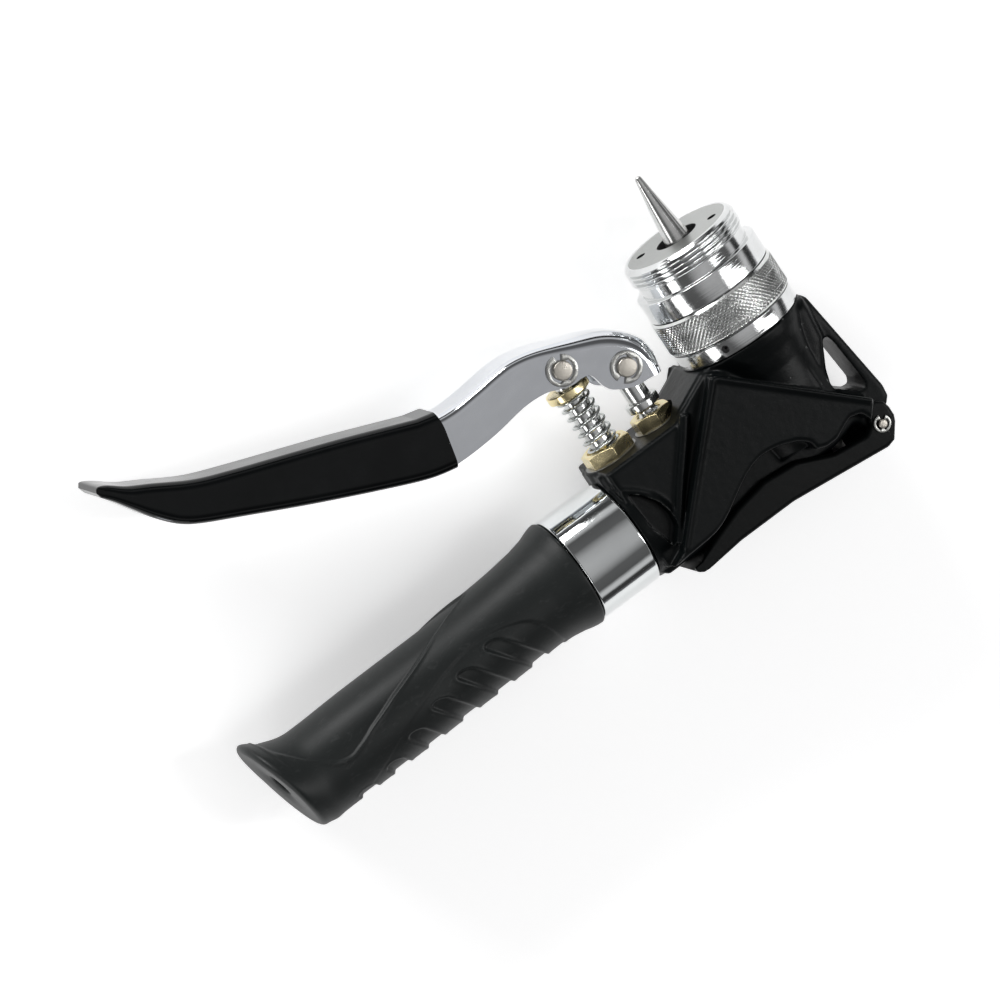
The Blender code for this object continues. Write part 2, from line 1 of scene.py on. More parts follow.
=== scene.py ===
import math
import bpy
import bmesh
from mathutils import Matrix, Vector


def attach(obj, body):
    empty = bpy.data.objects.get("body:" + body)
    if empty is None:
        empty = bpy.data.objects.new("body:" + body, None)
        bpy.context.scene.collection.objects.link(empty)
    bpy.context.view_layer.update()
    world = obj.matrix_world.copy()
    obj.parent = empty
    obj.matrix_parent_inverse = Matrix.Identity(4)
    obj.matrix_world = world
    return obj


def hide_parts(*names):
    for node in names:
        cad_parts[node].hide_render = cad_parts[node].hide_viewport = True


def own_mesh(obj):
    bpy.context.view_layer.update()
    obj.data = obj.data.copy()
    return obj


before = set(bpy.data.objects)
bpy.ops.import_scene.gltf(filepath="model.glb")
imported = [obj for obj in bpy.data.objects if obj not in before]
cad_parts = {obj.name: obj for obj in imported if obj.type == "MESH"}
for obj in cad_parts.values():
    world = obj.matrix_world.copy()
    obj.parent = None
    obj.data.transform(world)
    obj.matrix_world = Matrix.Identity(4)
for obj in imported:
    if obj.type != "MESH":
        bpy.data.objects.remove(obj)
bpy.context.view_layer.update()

MM = 0.001
HALF = 20.95
FULCRUM = (-36.45, 42.3)
PUMP_PIN = (-53.4, 53.2)
RELEASE_PIVOT = (18.4, -17.5)
scene = bpy.context.scene


# =============================== mesh helpers ================================
def mesh_object(name, verts, faces, sharp=32.0, merge=1e-7):
    me = bpy.data.meshes.new(name)
    me.from_pydata([(x * MM, y * MM, (z + HALF) * MM) for x, y, z in verts], [], faces)
    bm = bmesh.new()
    bm.from_mesh(me)
    if merge:
        bmesh.ops.remove_doubles(bm, verts=bm.verts, dist=merge)
    bmesh.ops.recalc_face_normals(bm, faces=bm.faces)
    if bm.calc_volume(signed=True) < 0:
        bmesh.ops.reverse_faces(bm, faces=bm.faces)
    bm.to_mesh(me)
    bm.free()
    o = bpy.data.objects.new(name, me)
    scene.collection.objects.link(o)
    shade(o, sharp)
    return o


def shade(o, sharp=32.0):
    me = o.data
    me.shade_smooth()
    if sharp:
        me.set_sharp_from_angle(angle=math.radians(sharp))


def weighted(o):
    m = o.modifiers.new("wn", "WEIGHTED_NORMAL")
    m.keep_sharp = True
    m.weight = 80
    return o


def basis(axis):
    return {
        "x": (Vector((1, 0, 0)), Vector((0, 1, 0)), Vector((0, 0, 1))),
        "y": (Vector((0, 1, 0)), Vector((0, 0, 1)), Vector((1, 0, 0))),
        "z": (Vector((0, 0, 1)), Vector((1, 0, 0)), Vector((0, 1, 0))),
    }[axis]


def fillet(pts, r, k=4, closed=True, only=None):
    """Round the corners of an outline; r may be one number or one per point."""
    n = len(pts)
    out = []
    for i in range(n):
        rad = r[i] if isinstance(r, (list, tuple)) else r
        if rad <= 0 or (not closed and i in (0, n - 1)) or (only is not None and i not in only):
            out.append(tuple(pts[i]))
            continue
        p0, p1, p2 = Vector(pts[i - 1]), Vector(pts[i]), Vector(pts[(i + 1) % n])
        a, b = p0 - p1, p2 - p1
        la, lb = a.length, b.length
        if la < 1e-6 or lb < 1e-6:
            out.append(tuple(p1))
            continue
        a, b = a / la, b / lb
        cosang = max(-0.999, min(0.999, a.dot(b)))
        half = math.acos(cosang) / 2
        d = min(rad / math.tan(half) if math.tan(half) > 1e-3 else rad, 0.47 * la, 0.47 * lb)
        s, e = p1 + a * d, p1 + b * d
        for j in range(k + 1):
            t = j / k
            out.append(tuple(s * (1 - t) ** 2 + p1 * 2 * t * (1 - t) + e * t * t))
    return out


def lathe(name, profile, axis, centre=(0, 0, 0), n=96, round_=0.0, k=3, turn=0.0, sharp=32.0):
    if round_:
        m = len(profile)
        only = [i for i in range(m) if profile[i][1] > 1e-6]
        profile = fillet(profile, round_, k, True, only)
    a, u, v = basis(axis)
    c = Vector(centre)
    verts, index = [], []
    for t, r in profile:
        if r <= 1e-6:
            index.append([len(verts)] * n)
            verts.append(tuple(c + a * t))
        else:
            index.append([len(verts) + q for q in range(n)])
            for q in range(n):
                ang = turn + 2 * math.pi * q / n
                verts.append(tuple(c + a * t + u * (r * math.cos(ang)) + v * (r * math.sin(ang))))
    faces = []
    m = len(profile)
    for i in range(m):
        j = (i + 1) % m
        for q in range(n):
            loop = [index[i][q], index[i][(q + 1) % n], index[j][(q + 1) % n], index[j][q]]
            f = []
            for w in loop:
                if w not in f:
                    f.append(w)
            if len(f) >= 3:
                faces.append(f)
    return mesh_object(name, verts, faces, sharp)


def surface(name, fn, nu, nv, close_u=True, caps=False, sharp=32.0):
    """Grid mesh of fn(i, j); i wraps round."""
    verts = [fn(i, j) for j in range(nv) for i in range(nu)]
    faces = []
    for j in range(nv - 1):
        for i in range(nu if close_u else nu - 1):
            i2 = (i + 1) % nu
            faces.append([j * nu + i, j * nu + i2, (j + 1) * nu + i2, (j + 1) * nu + i])
    if caps:
        faces.append(list(range(nu))[::-1])
        faces.append([(nv - 1) * nu + i for i in range(nu)])
    return mesh_object(name, verts, faces, sharp)


def inset(poly, d):
    n = len(poly)
    area = sum(poly[i][0] * poly[(i + 1) % n][1] - poly[(i + 1) % n][0] * poly[i][1] for i in range(n))
    sgn = 1.0 if area > 0 else -1.0
    out = []
    for i in range(n):
        p0, p1, p2 = Vector(poly[i - 1]), Vector(poly[i]), Vector(poly[(i + 1) % n])
        e1, e2 = (p1 - p0).normalized(), (p2 - p1).normalized()
        n1, n2 = Vector((-e1.y, e1.x)) * sgn, Vector((-e2.y, e2.x)) * sgn
        b = n1 + n2
        if b.length < 1e-6:
            b = n1.copy()
        b.normalize()
        q = max(b.dot(n1), 0.5)
        dd = d[i] if isinstance(d, (list, tuple)) else d
        out.append(p1 + b * (dd / q))
    # where the offset folds over itself, pull the folded run together
    for _ in range(60):
        bad = False
        for i in range(n):
            j = (i + 1) % n
            e = out[j] - out[i]
            o = Vector(poly[j]) - Vector(poly[i])
            if e.length > 1e-9 and e.dot(o) < 0:
                mid = (out[i] + out[j]) / 2
                out[i], out[j] = mid.copy(), mid.copy()
                bad = True
        if not bad:
            break
    return [tuple(p) for p in out]


def safe_radii(poly, rad):
    """Largest rounding radii, up to rad, whose inset outlines never fold over."""
    n = len(poly)
    P = [Vector(p) for p in poly]
    area = sum(P[i].x * P[(i + 1) % n].y - P[(i + 1) % n].x * P[i].y for i in range(n))
    sgn = 1.0 if area > 0 else -1.0
    length = [(P[(i + 1) % n] - P[i]).length for i in range(n)]
    tang = []
    for i in range(n):
        e1, e2 = P[i] - P[i - 1], P[(i + 1) % n] - P[i]
        turn = math.atan2(e1.x * e2.y - e1.y * e2.x, e1.dot(e2)) * sgn
        tang.append(math.tan(max(-1.3, min(1.3, turn / 2))))
    r = list(rad)
    for _ in range(80):
        worst = 0.0
        for i in range(n):
            j = (i + 1) % n
            shrink = r[i] * tang[i] + r[j] * tang[j]
            lim = 0.8 * length[i]
            if shrink > lim + 1e-6:
                gain = max(r[i] * tang[i], 0) + max(r[j] * tang[j], 0)
                f = max(0.3, 1 - (shrink - lim) / gain)
                if tang[i] > 0:
                    r[i] *= f
                if tang[j] > 0:
                    r[j] *= f
                worst = max(worst, shrink - lim)
        for rnd in range(2):
            for i in list(range(n)) + list(range(n - 1, -1, -1)):
                r[i] = min(r[i], r[i - 1] + 0.6 * length[i - 1], r[(i + 1) % n] + 0.6 * length[i])
        if worst < 1e-4:
            break
    return [max(q, 0.06) for q in r]


def prism(name, outline, half, radius=0.0, k=5, z0=None, sharp=32.0):
    """Outline extruded from -half to half with edges rounded by radius (one number, or one per point)."""
    clean = []
    rin = list(radius) if isinstance(radius, (list, tuple)) else [radius] * len(outline)
    rad = []
    for p, q in zip(outline, rin):
        if clean and math.hypot(p[0] - clean[-1][0], p[1] - clean[-1][1]) < 0.09:
            continue
        clean.append(p)
        rad.append(q)
    if math.hypot(clean[0][0] - clean[-1][0], clean[0][1] - clean[-1][1]) < 0.09:
        clean.pop()
        rad.pop()
    outline = clean
    n = len(outline)
    if max(rad) > 0:
        rad = safe_radii(outline, rad)
    lo, hi = (-half, half) if z0 is None else z0
    rings = []
    steps = [math.pi / 2 * i / k for i in range(k + 1)] if max(rad) > 0 else [math.pi / 2]
    for ph in steps:
        ring = inset(outline, [r * (1 - math.sin(ph)) for r in rad])
        rings.append([(x, y, lo + r * (1 - math.cos(ph))) for (x, y), r in zip(ring, rad)])
    for ph in reversed(steps):
        ring = inset(outline, [r * (1 - math.sin(ph)) for r in rad])
        rings.append([(x, y, hi - r * (1 - math.cos(ph))) for (x, y), r in zip(ring, rad)])
    verts = [p for ring in rings for p in ring]
    faces = []
    for i in range(len(rings) - 1):
        for q in range(n):
            a, b = i * n + q, i * n + (q + 1) % n
            faces.append([a, b, b + n, a + n])
    faces.append(list(range(n))[::-1])
    faces.append([(len(rings) - 1) * n + q for q in range(n)])
    return mesh_object(name, verts, faces, sharp)


def arc(cx, cy, r, a0, a1, k):
    return [(cx + r * math.cos(math.radians(a0 + (a1 - a0) * i / k)), cy + r * math.sin(math.radians(a0 + (a1 - a0) * i / k))) for i in range(k + 1)]


def combine(target, others, op, sharp=32.0, selfcut=False):
    for other in others:
        m = target.modifiers.new("b", "BOOLEAN")
        m.operation = op
        m.solver = "EXACT"
        m.use_self = selfcut
        m.object = other
    dg = bpy.context.evaluated_depsgraph_get()
    me = bpy.data.meshes.new_from_object(target.evaluated_get(dg))
    if len(me.vertices) < 8 and not selfcut:
        print("EMPTY RESULT", target.name, op)
        for m in target.modifiers:
            m.use_self = True
        dg = bpy.context.evaluated_depsgraph_get()
        me = bpy.data.meshes.new_from_object(target.evaluated_get(dg))
    target.modifiers.clear()
    target.data = me
    for other in others:
        bpy.data.objects.remove(other, do_unlink=True)
    shade(target, sharp)
    return target


def cut(target, *others, sharp=32.0, selfcut=False):
    return combine(target, others, "DIFFERENCE", sharp, selfcut)


def union(target, *others, sharp=32.0):
    return combine(target, others, "UNION", sharp)


def common(target, *others, sharp=32.0, selfcut=False):
    return combine(target, others, "INTERSECT", sharp, selfcut)


def join(name, objs):
    """One mesh holding all of them, overlapping."""
    bm = bmesh.new()
    for o in objs:
        bm.from_mesh(o.data)
        bpy.data.objects.remove(o, do_unlink=True)
    me = bpy.data.meshes.new(name)
    bm.to_mesh(me)
    bm.free()
    o = bpy.data.objects.new(name, me)
    scene.collection.objects.link(o)
    return o


def voxel(o, size, smooth=4, factor=0.5):
    """Melt overlapping solids into one skin with cast fillets."""
    m = o.modifiers.new("r", "REMESH")
    m.mode = "VOXEL"
    m.voxel_size = size * MM
    m.adaptivity = 0.0
    m.use_smooth_shade = True
    s = o.modifiers.new("s", "SMOOTH")
    s.factor = factor
    s.iterations = smooth
    dg = bpy.context.evaluated_depsgraph_get()
    me = bpy.data.meshes.new_from_object(o.evaluated_get(dg))
    o.modifiers.clear()
    o.data = me
    me.shade_smooth()
    return o


def catmull(pts, per=6, closed=False):
    out = []
    n = len(pts)
    rng = range(n if closed else n - 1)
    for i in rng:
        p = [Vector(pts[(i + q) % n] if closed else pts[max(0, min(n - 1, i + q))]) for q in (-1, 0, 1, 2)]
        for s in range(per):
            t = s / per
            out.append(tuple(0.5 * ((2 * p[1]) + (p[2] - p[0]) * t + (2 * p[0] - 5 * p[1] + 4 * p[2] - p[3]) * t * t + (3 * p[1] - p[0] - 3 * p[2] + p[3]) * t ** 3)))
    if not closed:
        out.append(tuple(pts[-1]))
    return out


def coil(name, axis, centre, r, wire, t0, t1, turns, steps=40, n=12, phase=0.0):
    a, u, v = basis(axis)
    c = Vector(centre)
    total = int(turns * steps)
    lead = 0.8
    verts, faces = [], []
    span = (t1 - t0) - 2 * wire
    dead = wire * 2.06
    pitch = (span - 2 * lead * dead) / (turns - 2 * lead)
    for i in range(total + 1):
        w = i / total * turns
        if w < lead:
            t = w * dead
        elif w > turns - lead:
            t = span - (turns - w) * dead
        else:
            t = lead * dead + (w - lead) * pitch
        ang = phase + 2 * math.pi * w
        rad = u * math.cos(ang) + v * math.sin(ang)
        mid = c + a * (t0 + wire + t) + rad * r
        for q in range(n):
            s = 2 * math.pi * q / n
            verts.append(tuple(mid + rad * (wire * math.cos(s)) + a * (wire * math.sin(s))))
    for i in range(total):
        for q in range(n):
            p0, p1 = i * n + q, i * n + (q + 1) % n
            faces.append([p0, p1, p1 + n, p0 + n])
    faces.append(list(range(n))[::-1])
    faces.append([total * n + q for q in range(n)])
    return mesh_object(name, verts, faces, 40.0, 0)


def tube_along(name, pts, r, n=10):
    """Round bead swept along 3-D points."""
    P = [Vector(p) for p in pts]
    verts, faces = [], []
    m = len(P)
    for i in range(m):
        d = (P[min(i + 1, m - 1)] - P[max(i - 1, 0)]).normalized()
        u = d.cross(Vector((0, 0, 1)))
        if u.length < 1e-4:
            u = d.cross(Vector((1, 0, 0)))
        u.normalize()
        v = d.cross(u)
        rr = r[i] if isinstance(r, (list, tuple)) else r
        for q in range(n):
            s = 2 * math.pi * q / n
            verts.append(tuple(P[i] + u * (rr * math.cos(s)) + v * (rr * math.sin(s))))
    for i in range(m - 1):
        for q in range(n):
            a, b = i * n + q, i * n + (q + 1) % n
            faces.append([a, b, b + n, a + n])
    faces.append(list(range(n))[::-1])
    faces.append([(m - 1) * n + q for q in range(n)])
    return mesh_object(name, verts, faces, 40.0, 0)


# ================================= materials =================================
class Nodes:
    def __init__(self, name):
        self.m = bpy.data.materials.new(name)
        self.m.use_nodes = True
        self.t = self.m.node_tree
        self.b = self.t.nodes["Principled BSDF"]
        self.tc = self.t.nodes.new("ShaderNodeTexCoord")

    def new(self, kind, **kw):
        n = self.t.nodes.new(kind)
        for k, v in kw.items():
            setattr(n, k, v)
        return n

    def link(self, a, b):
        self.t.links.new(a, b)

    def coords(self, scale=(1, 1, 1)):
        mp = self.new("ShaderNodeMapping")
        mp.inputs["Scale"].default_value = scale
        self.link(self.tc.outputs["Object"], mp.inputs["Vector"])
        return mp.outputs["Vector"]

    def noise(self, scale, detail=4.0, rough=0.55, stretch=(1, 1, 1), distortion=0.0):
        n = self.new("ShaderNodeTexNoise")
        n.inputs["Scale"].default_value = scale
        n.inputs["Detail"].default_value = detail
        n.inputs["Roughness"].default_value = rough
        n.inputs["Distortion"].default_value = distortion
        self.link(self.coords(stretch), n.inputs["Vector"])
        return n.outputs["Fac"]

    def ramp(self, fac, stops):
        r = self.new("ShaderNodeValToRGB")
        e = r.color_ramp.elements
        while len(e) < len(stops):
            e.new(0.5)
        for el, (p, c) in zip(e, stops):
            el.position = p
            el.color = (*c, 1.0) if len(c) == 3 else c
        self.link(fac, r.inputs["Fac"])
        return r.outputs["Color"]

    def range(self, fac, a, b, lo=0.0, hi=1.0):
        r = self.new("ShaderNodeMapRange")
        r.inputs["From Min"].default_value = lo
        r.inputs["From Max"].default_value = hi
        r.inputs["To Min"].default_value = a
        r.inputs["To Max"].default_value = b
        self.link(fac, r.inputs["Value"])
        return r.outputs["Result"]

    def math(self, op, a, b):
        n = self.new("ShaderNodeMath", operation=op)
        for i, v in enumerate((a, b)):
            if isinstance(v, (int, float)):
                n.inputs[i].default_value = v
            else:
                self.link(v, n.inputs[i])
        return n.outputs[0]

    def mix(self, fac, a, b):
        n = self.new("ShaderNodeMix", data_type="RGBA")
        if isinstance(fac, (int, float)):
            n.inputs["Factor"].default_value = fac
        else:
            self.link(fac, n.inputs["Factor"])
        for i, v in ((6, a), (7, b)):
            if isinstance(v, tuple):
                n.inputs[i].default_value = (*v, 1.0)
            else:
                self.link(v, n.inputs[i])
        return n.outputs[2]

    def bump(self, height, dist, strength=1.0, normal=None):
        n = self.new("ShaderNodeBump")
        n.inputs["Strength"].default_value = strength
        n.inputs["Distance"].default_value = dist
        self.link(height, n.inputs["Height"])
        if normal is not None:
            self.link(normal, n.inputs["Normal"])
        return n.outputs["Normal"]

    def out(self, color=None, rough=None, metallic=None, normal=None, **const):
        b = self.b
        for key, v in (("Base Color", color), ("Roughness", rough), ("Metallic", metallic), ("Normal", normal)):
            if v is None:
                continue
            if isinstance(v, tuple):
                b.inputs[key].default_value = (*v, 1.0)
            elif isinstance(v, (int, float)):
                b.inputs[key].default_value = v
            else:
                self.link(v, b.inputs[key])
        for key, v in const.items():
            b.inputs[key.replace("_", " ")].default_value = v
        return self.m


def mat_chrome(name, tint=(0.80, 0.81, 0.82), lo=0.05, hi=0.14, wave=0.0):
    n = Nodes(name)
    big = n.noise(60.0, 3.0)
    fine = n.noise(900.0, 4.0, 0.6)
    smear = n.noise(140.0, 5.0, 0.6, (1.0, 3.0, 1.0), 0.4)
    color = n.ramp(big, [(0.3, tuple(c * 0.93 for c in tint)), (0.7, tint)])
    rough = n.range(smear, lo, hi, 0.3, 0.75)
    h = n.math("ADD", n.math("MULTIPLY", big, 0.8), n.math("MULTIPLY", fine, 0.04))
    nor = n.bump(h, 0.00025 + wave, 0.35)
    return n.out(color, rough, 1.0, nor)


def mat_turned(name, axis, tint, lo, hi, rings=1600.0, amount=0.00001, metallic=1.0):
    """Turned metal: fine rings round an axis, so the pattern varies along it and with radius."""
    n = Nodes(name)
    stretch = {"y": (0.02, 1.0, 0.02), "x": (1.0, 0.02, 0.02), "z": (0.02, 0.02, 1.0)}[axis]
    lines = n.noise(rings, 3.0, 0.7, stretch)
    cloud = n.noise(180.0, 4.0, 0.6)
    color = n.mix(n.range(cloud, 0.0, 1.0, 0.3, 0.7), tuple(c * 0.88 for c in tint), tint)
    rough = n.math("ADD", n.range(cloud, lo, hi, 0.3, 0.7), n.math("MULTIPLY", lines, 0.06))
    return n.out(color, rough, metallic, n.bump(lines, amount * 10, 0.5))


def mat_cast(name, base, lo, hi, grain=0.00009):
    """Satin black coating over a die casting: orange peel, fine grit and painted highlight specks on the sharp edges.
    """
    n = Nodes(name)
    peel = n.noise(420.0, 3.0, 0.5)
    grit = n.noise(2600.0, 2.0, 0.6)
    cloud = n.noise(38.0, 4.0, 0.6)
    geo = n.new("ShaderNodeNewGeometry")
    edge = n.range(geo.outputs["Pointiness"], 0.0, 1.0, 0.53, 0.62)
    # painted highlight: light grey grit specks on convex ridges, standing in for the glints the coating catches there
    ridge_highlight_specks = n.math("MULTIPLY", edge, n.range(grit, 0.0, 1.0, 0.45, 0.62))
    dust = n.range(n.noise(1500.0, 5.0, 0.75), 0.0, 1.0, 0.62, 0.74)
    c1 = n.ramp(cloud, [(0.3, tuple(c * 0.8 for c in base)), (0.7, tuple(c * 1.2 for c in base))])
    c2 = n.mix(n.math("MULTIPLY", dust, 0.05), c1, (0.35, 0.36, 0.36))
    # mixes the painted ridge highlight specks into the colour
    c3 = n.mix(n.math("MULTIPLY", ridge_highlight_specks, 0.38), c2, (0.42, 0.43, 0.42))
    rough = n.math("ADD", n.range(cloud, lo, hi, 0.3, 0.7), n.math("MULTIPLY", grit, 0.1))
    h = n.math("ADD", n.math("MULTIPLY", peel, 1.0), n.math("MULTIPLY", grit, 0.35))
    return n.out(c3, rough, 0.0, n.bump(h, grain, 0.7), Specular_IOR_Level=0.12)


def mat_rubber(name, base, rough=0.55):
    n = Nodes(name)
    fine = n.noise(1700.0, 4.0, 0.65)
    cloud = n.noise(30.0, 4.0, 0.6)
    scuff = n.range(n.noise(260.0, 6.0, 0.7, (1.0, 2.2, 1.0), 0.6), 0.0, 1.0, 0.56, 0.72)
    c1 = n.ramp(cloud, [(0.3, tuple(c * 0.85 for c in base)), (0.7, tuple(c * 1.15 for c in base))])
    c2 = n.mix(n.math("MULTIPLY", scuff, 0.10), c1, (0.16, 0.165, 0.165))
    r = n.math("ADD", n.range(cloud, rough - 0.05, rough + 0.05, 0.3, 0.7), n.math("MULTIPLY", scuff, 0.06))
    return n.out(c2, r, 0.0, n.bump(fine, 0.00006, 0.5), Specular_IOR_Level=0.34)


def mat_vinyl(name, base):
    n = Nodes(name)
    wave = n.noise(46.0, 2.0, 0.5)
    fine = n.noise(700.0, 3.0, 0.6)
    cloud = n.noise(80.0, 5.0, 0.65)
    c1 = n.ramp(cloud, [(0.3, base), (0.75, tuple(c * 1.7 for c in base))])
    r = n.range(cloud, 0.10, 0.22, 0.3, 0.75)
    h = n.math("ADD", wave, n.math("MULTIPLY", fine, 0.03))
    return n.out(c1, r, 0.0, n.bump(h, 0.0005, 0.4), Specular_IOR_Level=0.16, Coat_Weight=0.10, Coat_Roughness=0.06)


def mat_metal(name, tint, lo, hi, scratch=0.00001, metallic=1.0, spots=0.0):
    n = Nodes(name)
    cloud = n.noise(300.0, 5.0, 0.65)
    fine = n.noise(2200.0, 4.0, 0.6)
    color = n.mix(n.range(cloud, 0.0, 1.0, 0.3, 0.7), tuple(c * 0.8 for c in tint), tint)
    if spots:
        color = n.mix(n.math("MULTIPLY", n.range(n.noise(700.0, 4.0, 0.7), 0.0, 1.0, 0.55, 0.7), spots), color, tuple(c * 0.45 for c in tint))
    rough = n.range(cloud, lo, hi, 0.3, 0.7)
    return n.out(color, rough, metallic, n.bump(fine, scratch * 10, 0.5))


M = {
    "cast": mat_cast("cast_black", (0.0018, 0.0027, 0.0029), 0.24, 0.36, 0.00010),
    "pressed": mat_cast("pressed_black", (0.0020, 0.0027, 0.0027), 0.24, 0.36, 0.00005),
    "chrome_lever": mat_chrome("chrome_lever", (0.70, 0.72, 0.75), 0.05, 0.12),
    "chrome_collar": mat_chrome("chrome_collar", (0.74, 0.76, 0.76), 0.04, 0.09),
    "chrome_nose": mat_turned("chrome_nose", "y", (0.72, 0.73, 0.73), 0.05, 0.10),
    "knurl": mat_metal("chrome_knurl", (0.74, 0.75, 0.74), 0.12, 0.18, 0.000004),
    "face": mat_metal("machined_face", (0.42, 0.43, 0.42), 0.30, 0.42),
    "mandrel": mat_turned("ground_steel", "y", (0.66, 0.66, 0.65), 0.12, 0.22),
    "bore": mat_metal("dark_bore", (0.10, 0.10, 0.10), 0.35, 0.5),
    "brass": mat_metal("brass", (0.93, 0.80, 0.47), 0.18, 0.30, 0.000004, spots=0.08),
    "rod": mat_turned("bright_rod", "y", (0.66, 0.67, 0.66), 0.08, 0.15),
    "spring": mat_metal("spring_wire", (0.58, 0.60, 0.59), 0.14, 0.24, 0.000004),
    "pin": mat_metal("plated_pin", (0.50, 0.47, 0.42), 0.24, 0.38, spots=0.25),
    "clip": mat_metal("plated_clip", (0.46, 0.46, 0.44), 0.24, 0.34, spots=0.15),
    "alu": mat_metal("machined_aluminium", (0.30, 0.30, 0.30), 0.30, 0.44),
    "rubber": mat_rubber("moulded_rubber", (0.0062, 0.0082, 0.0080), 0.47),
    "vinyl": mat_vinyl("dipped_vinyl", (0.0016, 0.0020, 0.0022)),
    "inner_rubber": mat_rubber("seal_rubber", (0.018, 0.018, 0.018), 0.5),
    "steel": mat_metal("machined_steel", (0.55, 0.55, 0.53), 0.25, 0.40),
}


def dress(o, *keys):
    o.data.materials.clear()
    for k in keys:
        o.data.materials.append(M[k])
    return o


def place(o, body, nodes=()):
    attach(o, body)
    if nodes:
        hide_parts(*nodes)
    return o


# ============================ nose and its rings =============================
NOSE_TOP = 63.3
PITCH = 1.5
core_prof = [(30.0, 15.0), (30.0, 16.6), (45.4, 16.6), (45.4, 20.5), (52.85, 20.5), (52.85, 18.15), (56.5, 18.15), (56.5, 17.2), (63.0, 17.2), (63.0, 16.9), (NOSE_TOP, 16.9), (NOSE_TOP, 12.0), (NOSE_TOP, 6.85), (58.0, 6.85), (58.0, 13.0), (30.0, 13.0)]
radii = [0, 0, 0.1, 0.45, 0.5, 0.12, 0.2, 0, 0, 0, 0, 0, 0.25, 0, 0, 0]
nose = lathe("nose_core", fillet(core_prof, radii, 4), "y", (0, 0, 0), 160)
holes = []
for a in (math.radians(30), math.radians(210)):
    holes.append(lathe("k", [(NOSE_TOP - 4.0, 0), (NOSE_TOP - 4.0, 1.5), (NOSE_TOP + 1, 1.5), (NOSE_TOP + 1, 0)], "y", (12.6 * math.cos(a), 0, 12.6 * math.sin(a)), 32))
nose = cut(nose, *holes)
dress(nose, "chrome_nose", "face", "bore")
for p in nose.data.polygons:
    c = p.center
    rr = math.hypot(c.x, c.z - HALF * MM) / MM
    if c.y / MM > 62.9 and abs(p.normal.y) > 0.5 and rr < 17.3:
        p.material_index = 1
    elif rr < 6.95 and c.y / MM > 40:
        p.material_index = 2
place(nose, "frame", ["nose_cylinder"])


def thread_r(th, yy):
    ph = ((yy - 56.6) / PITCH - th / (2 * math.pi)) % 1.0
    tri = abs(ph * 2 - 1)
    prof = min(1.0, max(0.0, (tri - 0.10) / 0.72))
    prof = prof * prof * (3 - 2 * prof) * 0.35 + prof * 0.65
    r = 17.95 + 1.05 * prof
    start = min(1.0, max(0.0, (yy - 56.35) / 0.9))
    r = 17.95 + (r - 17.95) * start
    chamfer = 19.0 - max(0.0, yy - 62.0) * 0.95
    return min(r, chamfer)


NT, NR = 224, 78


def thread_pt(i, j):
    th = 2 * math.pi * i / NT
    if j == 0:
        yy, r = 56.3, 17.0
    elif j == NR - 1:
        yy, r = NOSE_TOP, 16.9
    else:
        yy = 56.3 + (NOSE_TOP - 56.3) * (j - 1) / (NR - 3)
        r = thread_r(th, yy)
    return (r * math.sin(th), yy, r * math.cos(th))


thread = surface("nose_thread", thread_pt, NT, NR, sharp=48.0)
dress(thread, "chrome_nose")
place(thread, "frame", ())

# diamond knurl: two crossing sets of grooves
KN, KP = 84, 1.5
K0, K1 = 33.5, 45.1
NU, NV = KN * 10, 100


def knurl_pt(i, j):
    th = 2 * math.pi * i / NU
    v = (j - 2) / (NV - 5)
    yy = K0 + (K1 - K0) * min(1.0, max(0.0, v))
    if j == 0 or j == NV - 1:
        return (17.0 * math.sin(th), yy, 17.0 * math.cos(th))
    edge = min(yy - K0, K1 - yy)
    base = 20.9
    bev = max(0.0, 0.8 - edge)
    if j == 1 or j == NV - 2:
        r = 19.95
        return (r * math.sin(th), yy, r * math.cos(th))
    a = (th * KN / (2 * math.pi) + yy / KP) % 1.0
    b = (th * KN / (2 * math.pi) - yy / KP) % 1.0
    ga, gb = abs(a * 2 - 1), abs(b * 2 - 1)
    h = min(1.0, min(1 - ga, 1 - gb) * 1.25)
    depth = 0.55 * (1 - h) * min(1.0, max(0.0, (edge - 0.75) / 0.25))
    r = base - bev * 0.75 - depth
    return (r * math.sin(th), yy, r * math.cos(th))


knurl = surface("knurled_band", knurl_pt, NU, NV, sharp=30.0)
dress(knurl, "knurl")
place(knurl, "frame", ["knurled_ring"])

lock = lathe("lock_band", [(28.4, 16.8), (28.4, 20.4), (33.35, 20.5), (33.35, 16.8)], "y", (0, 0, 0), 192, 0.3)
ang = math.radians(30)
ux, uz = -math.sin(ang), math.cos(ang)


def radial(name, r, a, b, yy, n=40):
    d, s, w = Vector((ux, 0, uz)), Vector((uz, 0, -ux)), Vector((0, 1, 0))
    c = Vector((0, yy, 0))
    verts, faces = [], []
    for t_ in (a, b):
        for q in range(n):
            an = 2 * math.pi * q / n
            verts.append(tuple(c + d * t_ + s * (r * math.cos(an)) + w * (r * math.sin(an))))
    for q in range(n):
        faces.append([q, (q + 1) % n, n + (q + 1) % n, n + q])
    faces.append(list(range(n))[::-1])
    faces.append([n + q for q in range(n)])
    return mesh_object(name, verts, faces)


lock = cut(lock, radial("k", 1.25, 15.0, 23.0, 30.9))
dress(lock, "chrome_nose")
place(lock, "frame", ["lock_ring"])
grub = cut(radial("grub_screw", 1.2, 16.9, 19.1, 30.9), radial("k", 0.62, 18.0, 20.0, 30.9, 6))
dress(grub, "bore")
place(grub, "frame", ["lock_screw"])

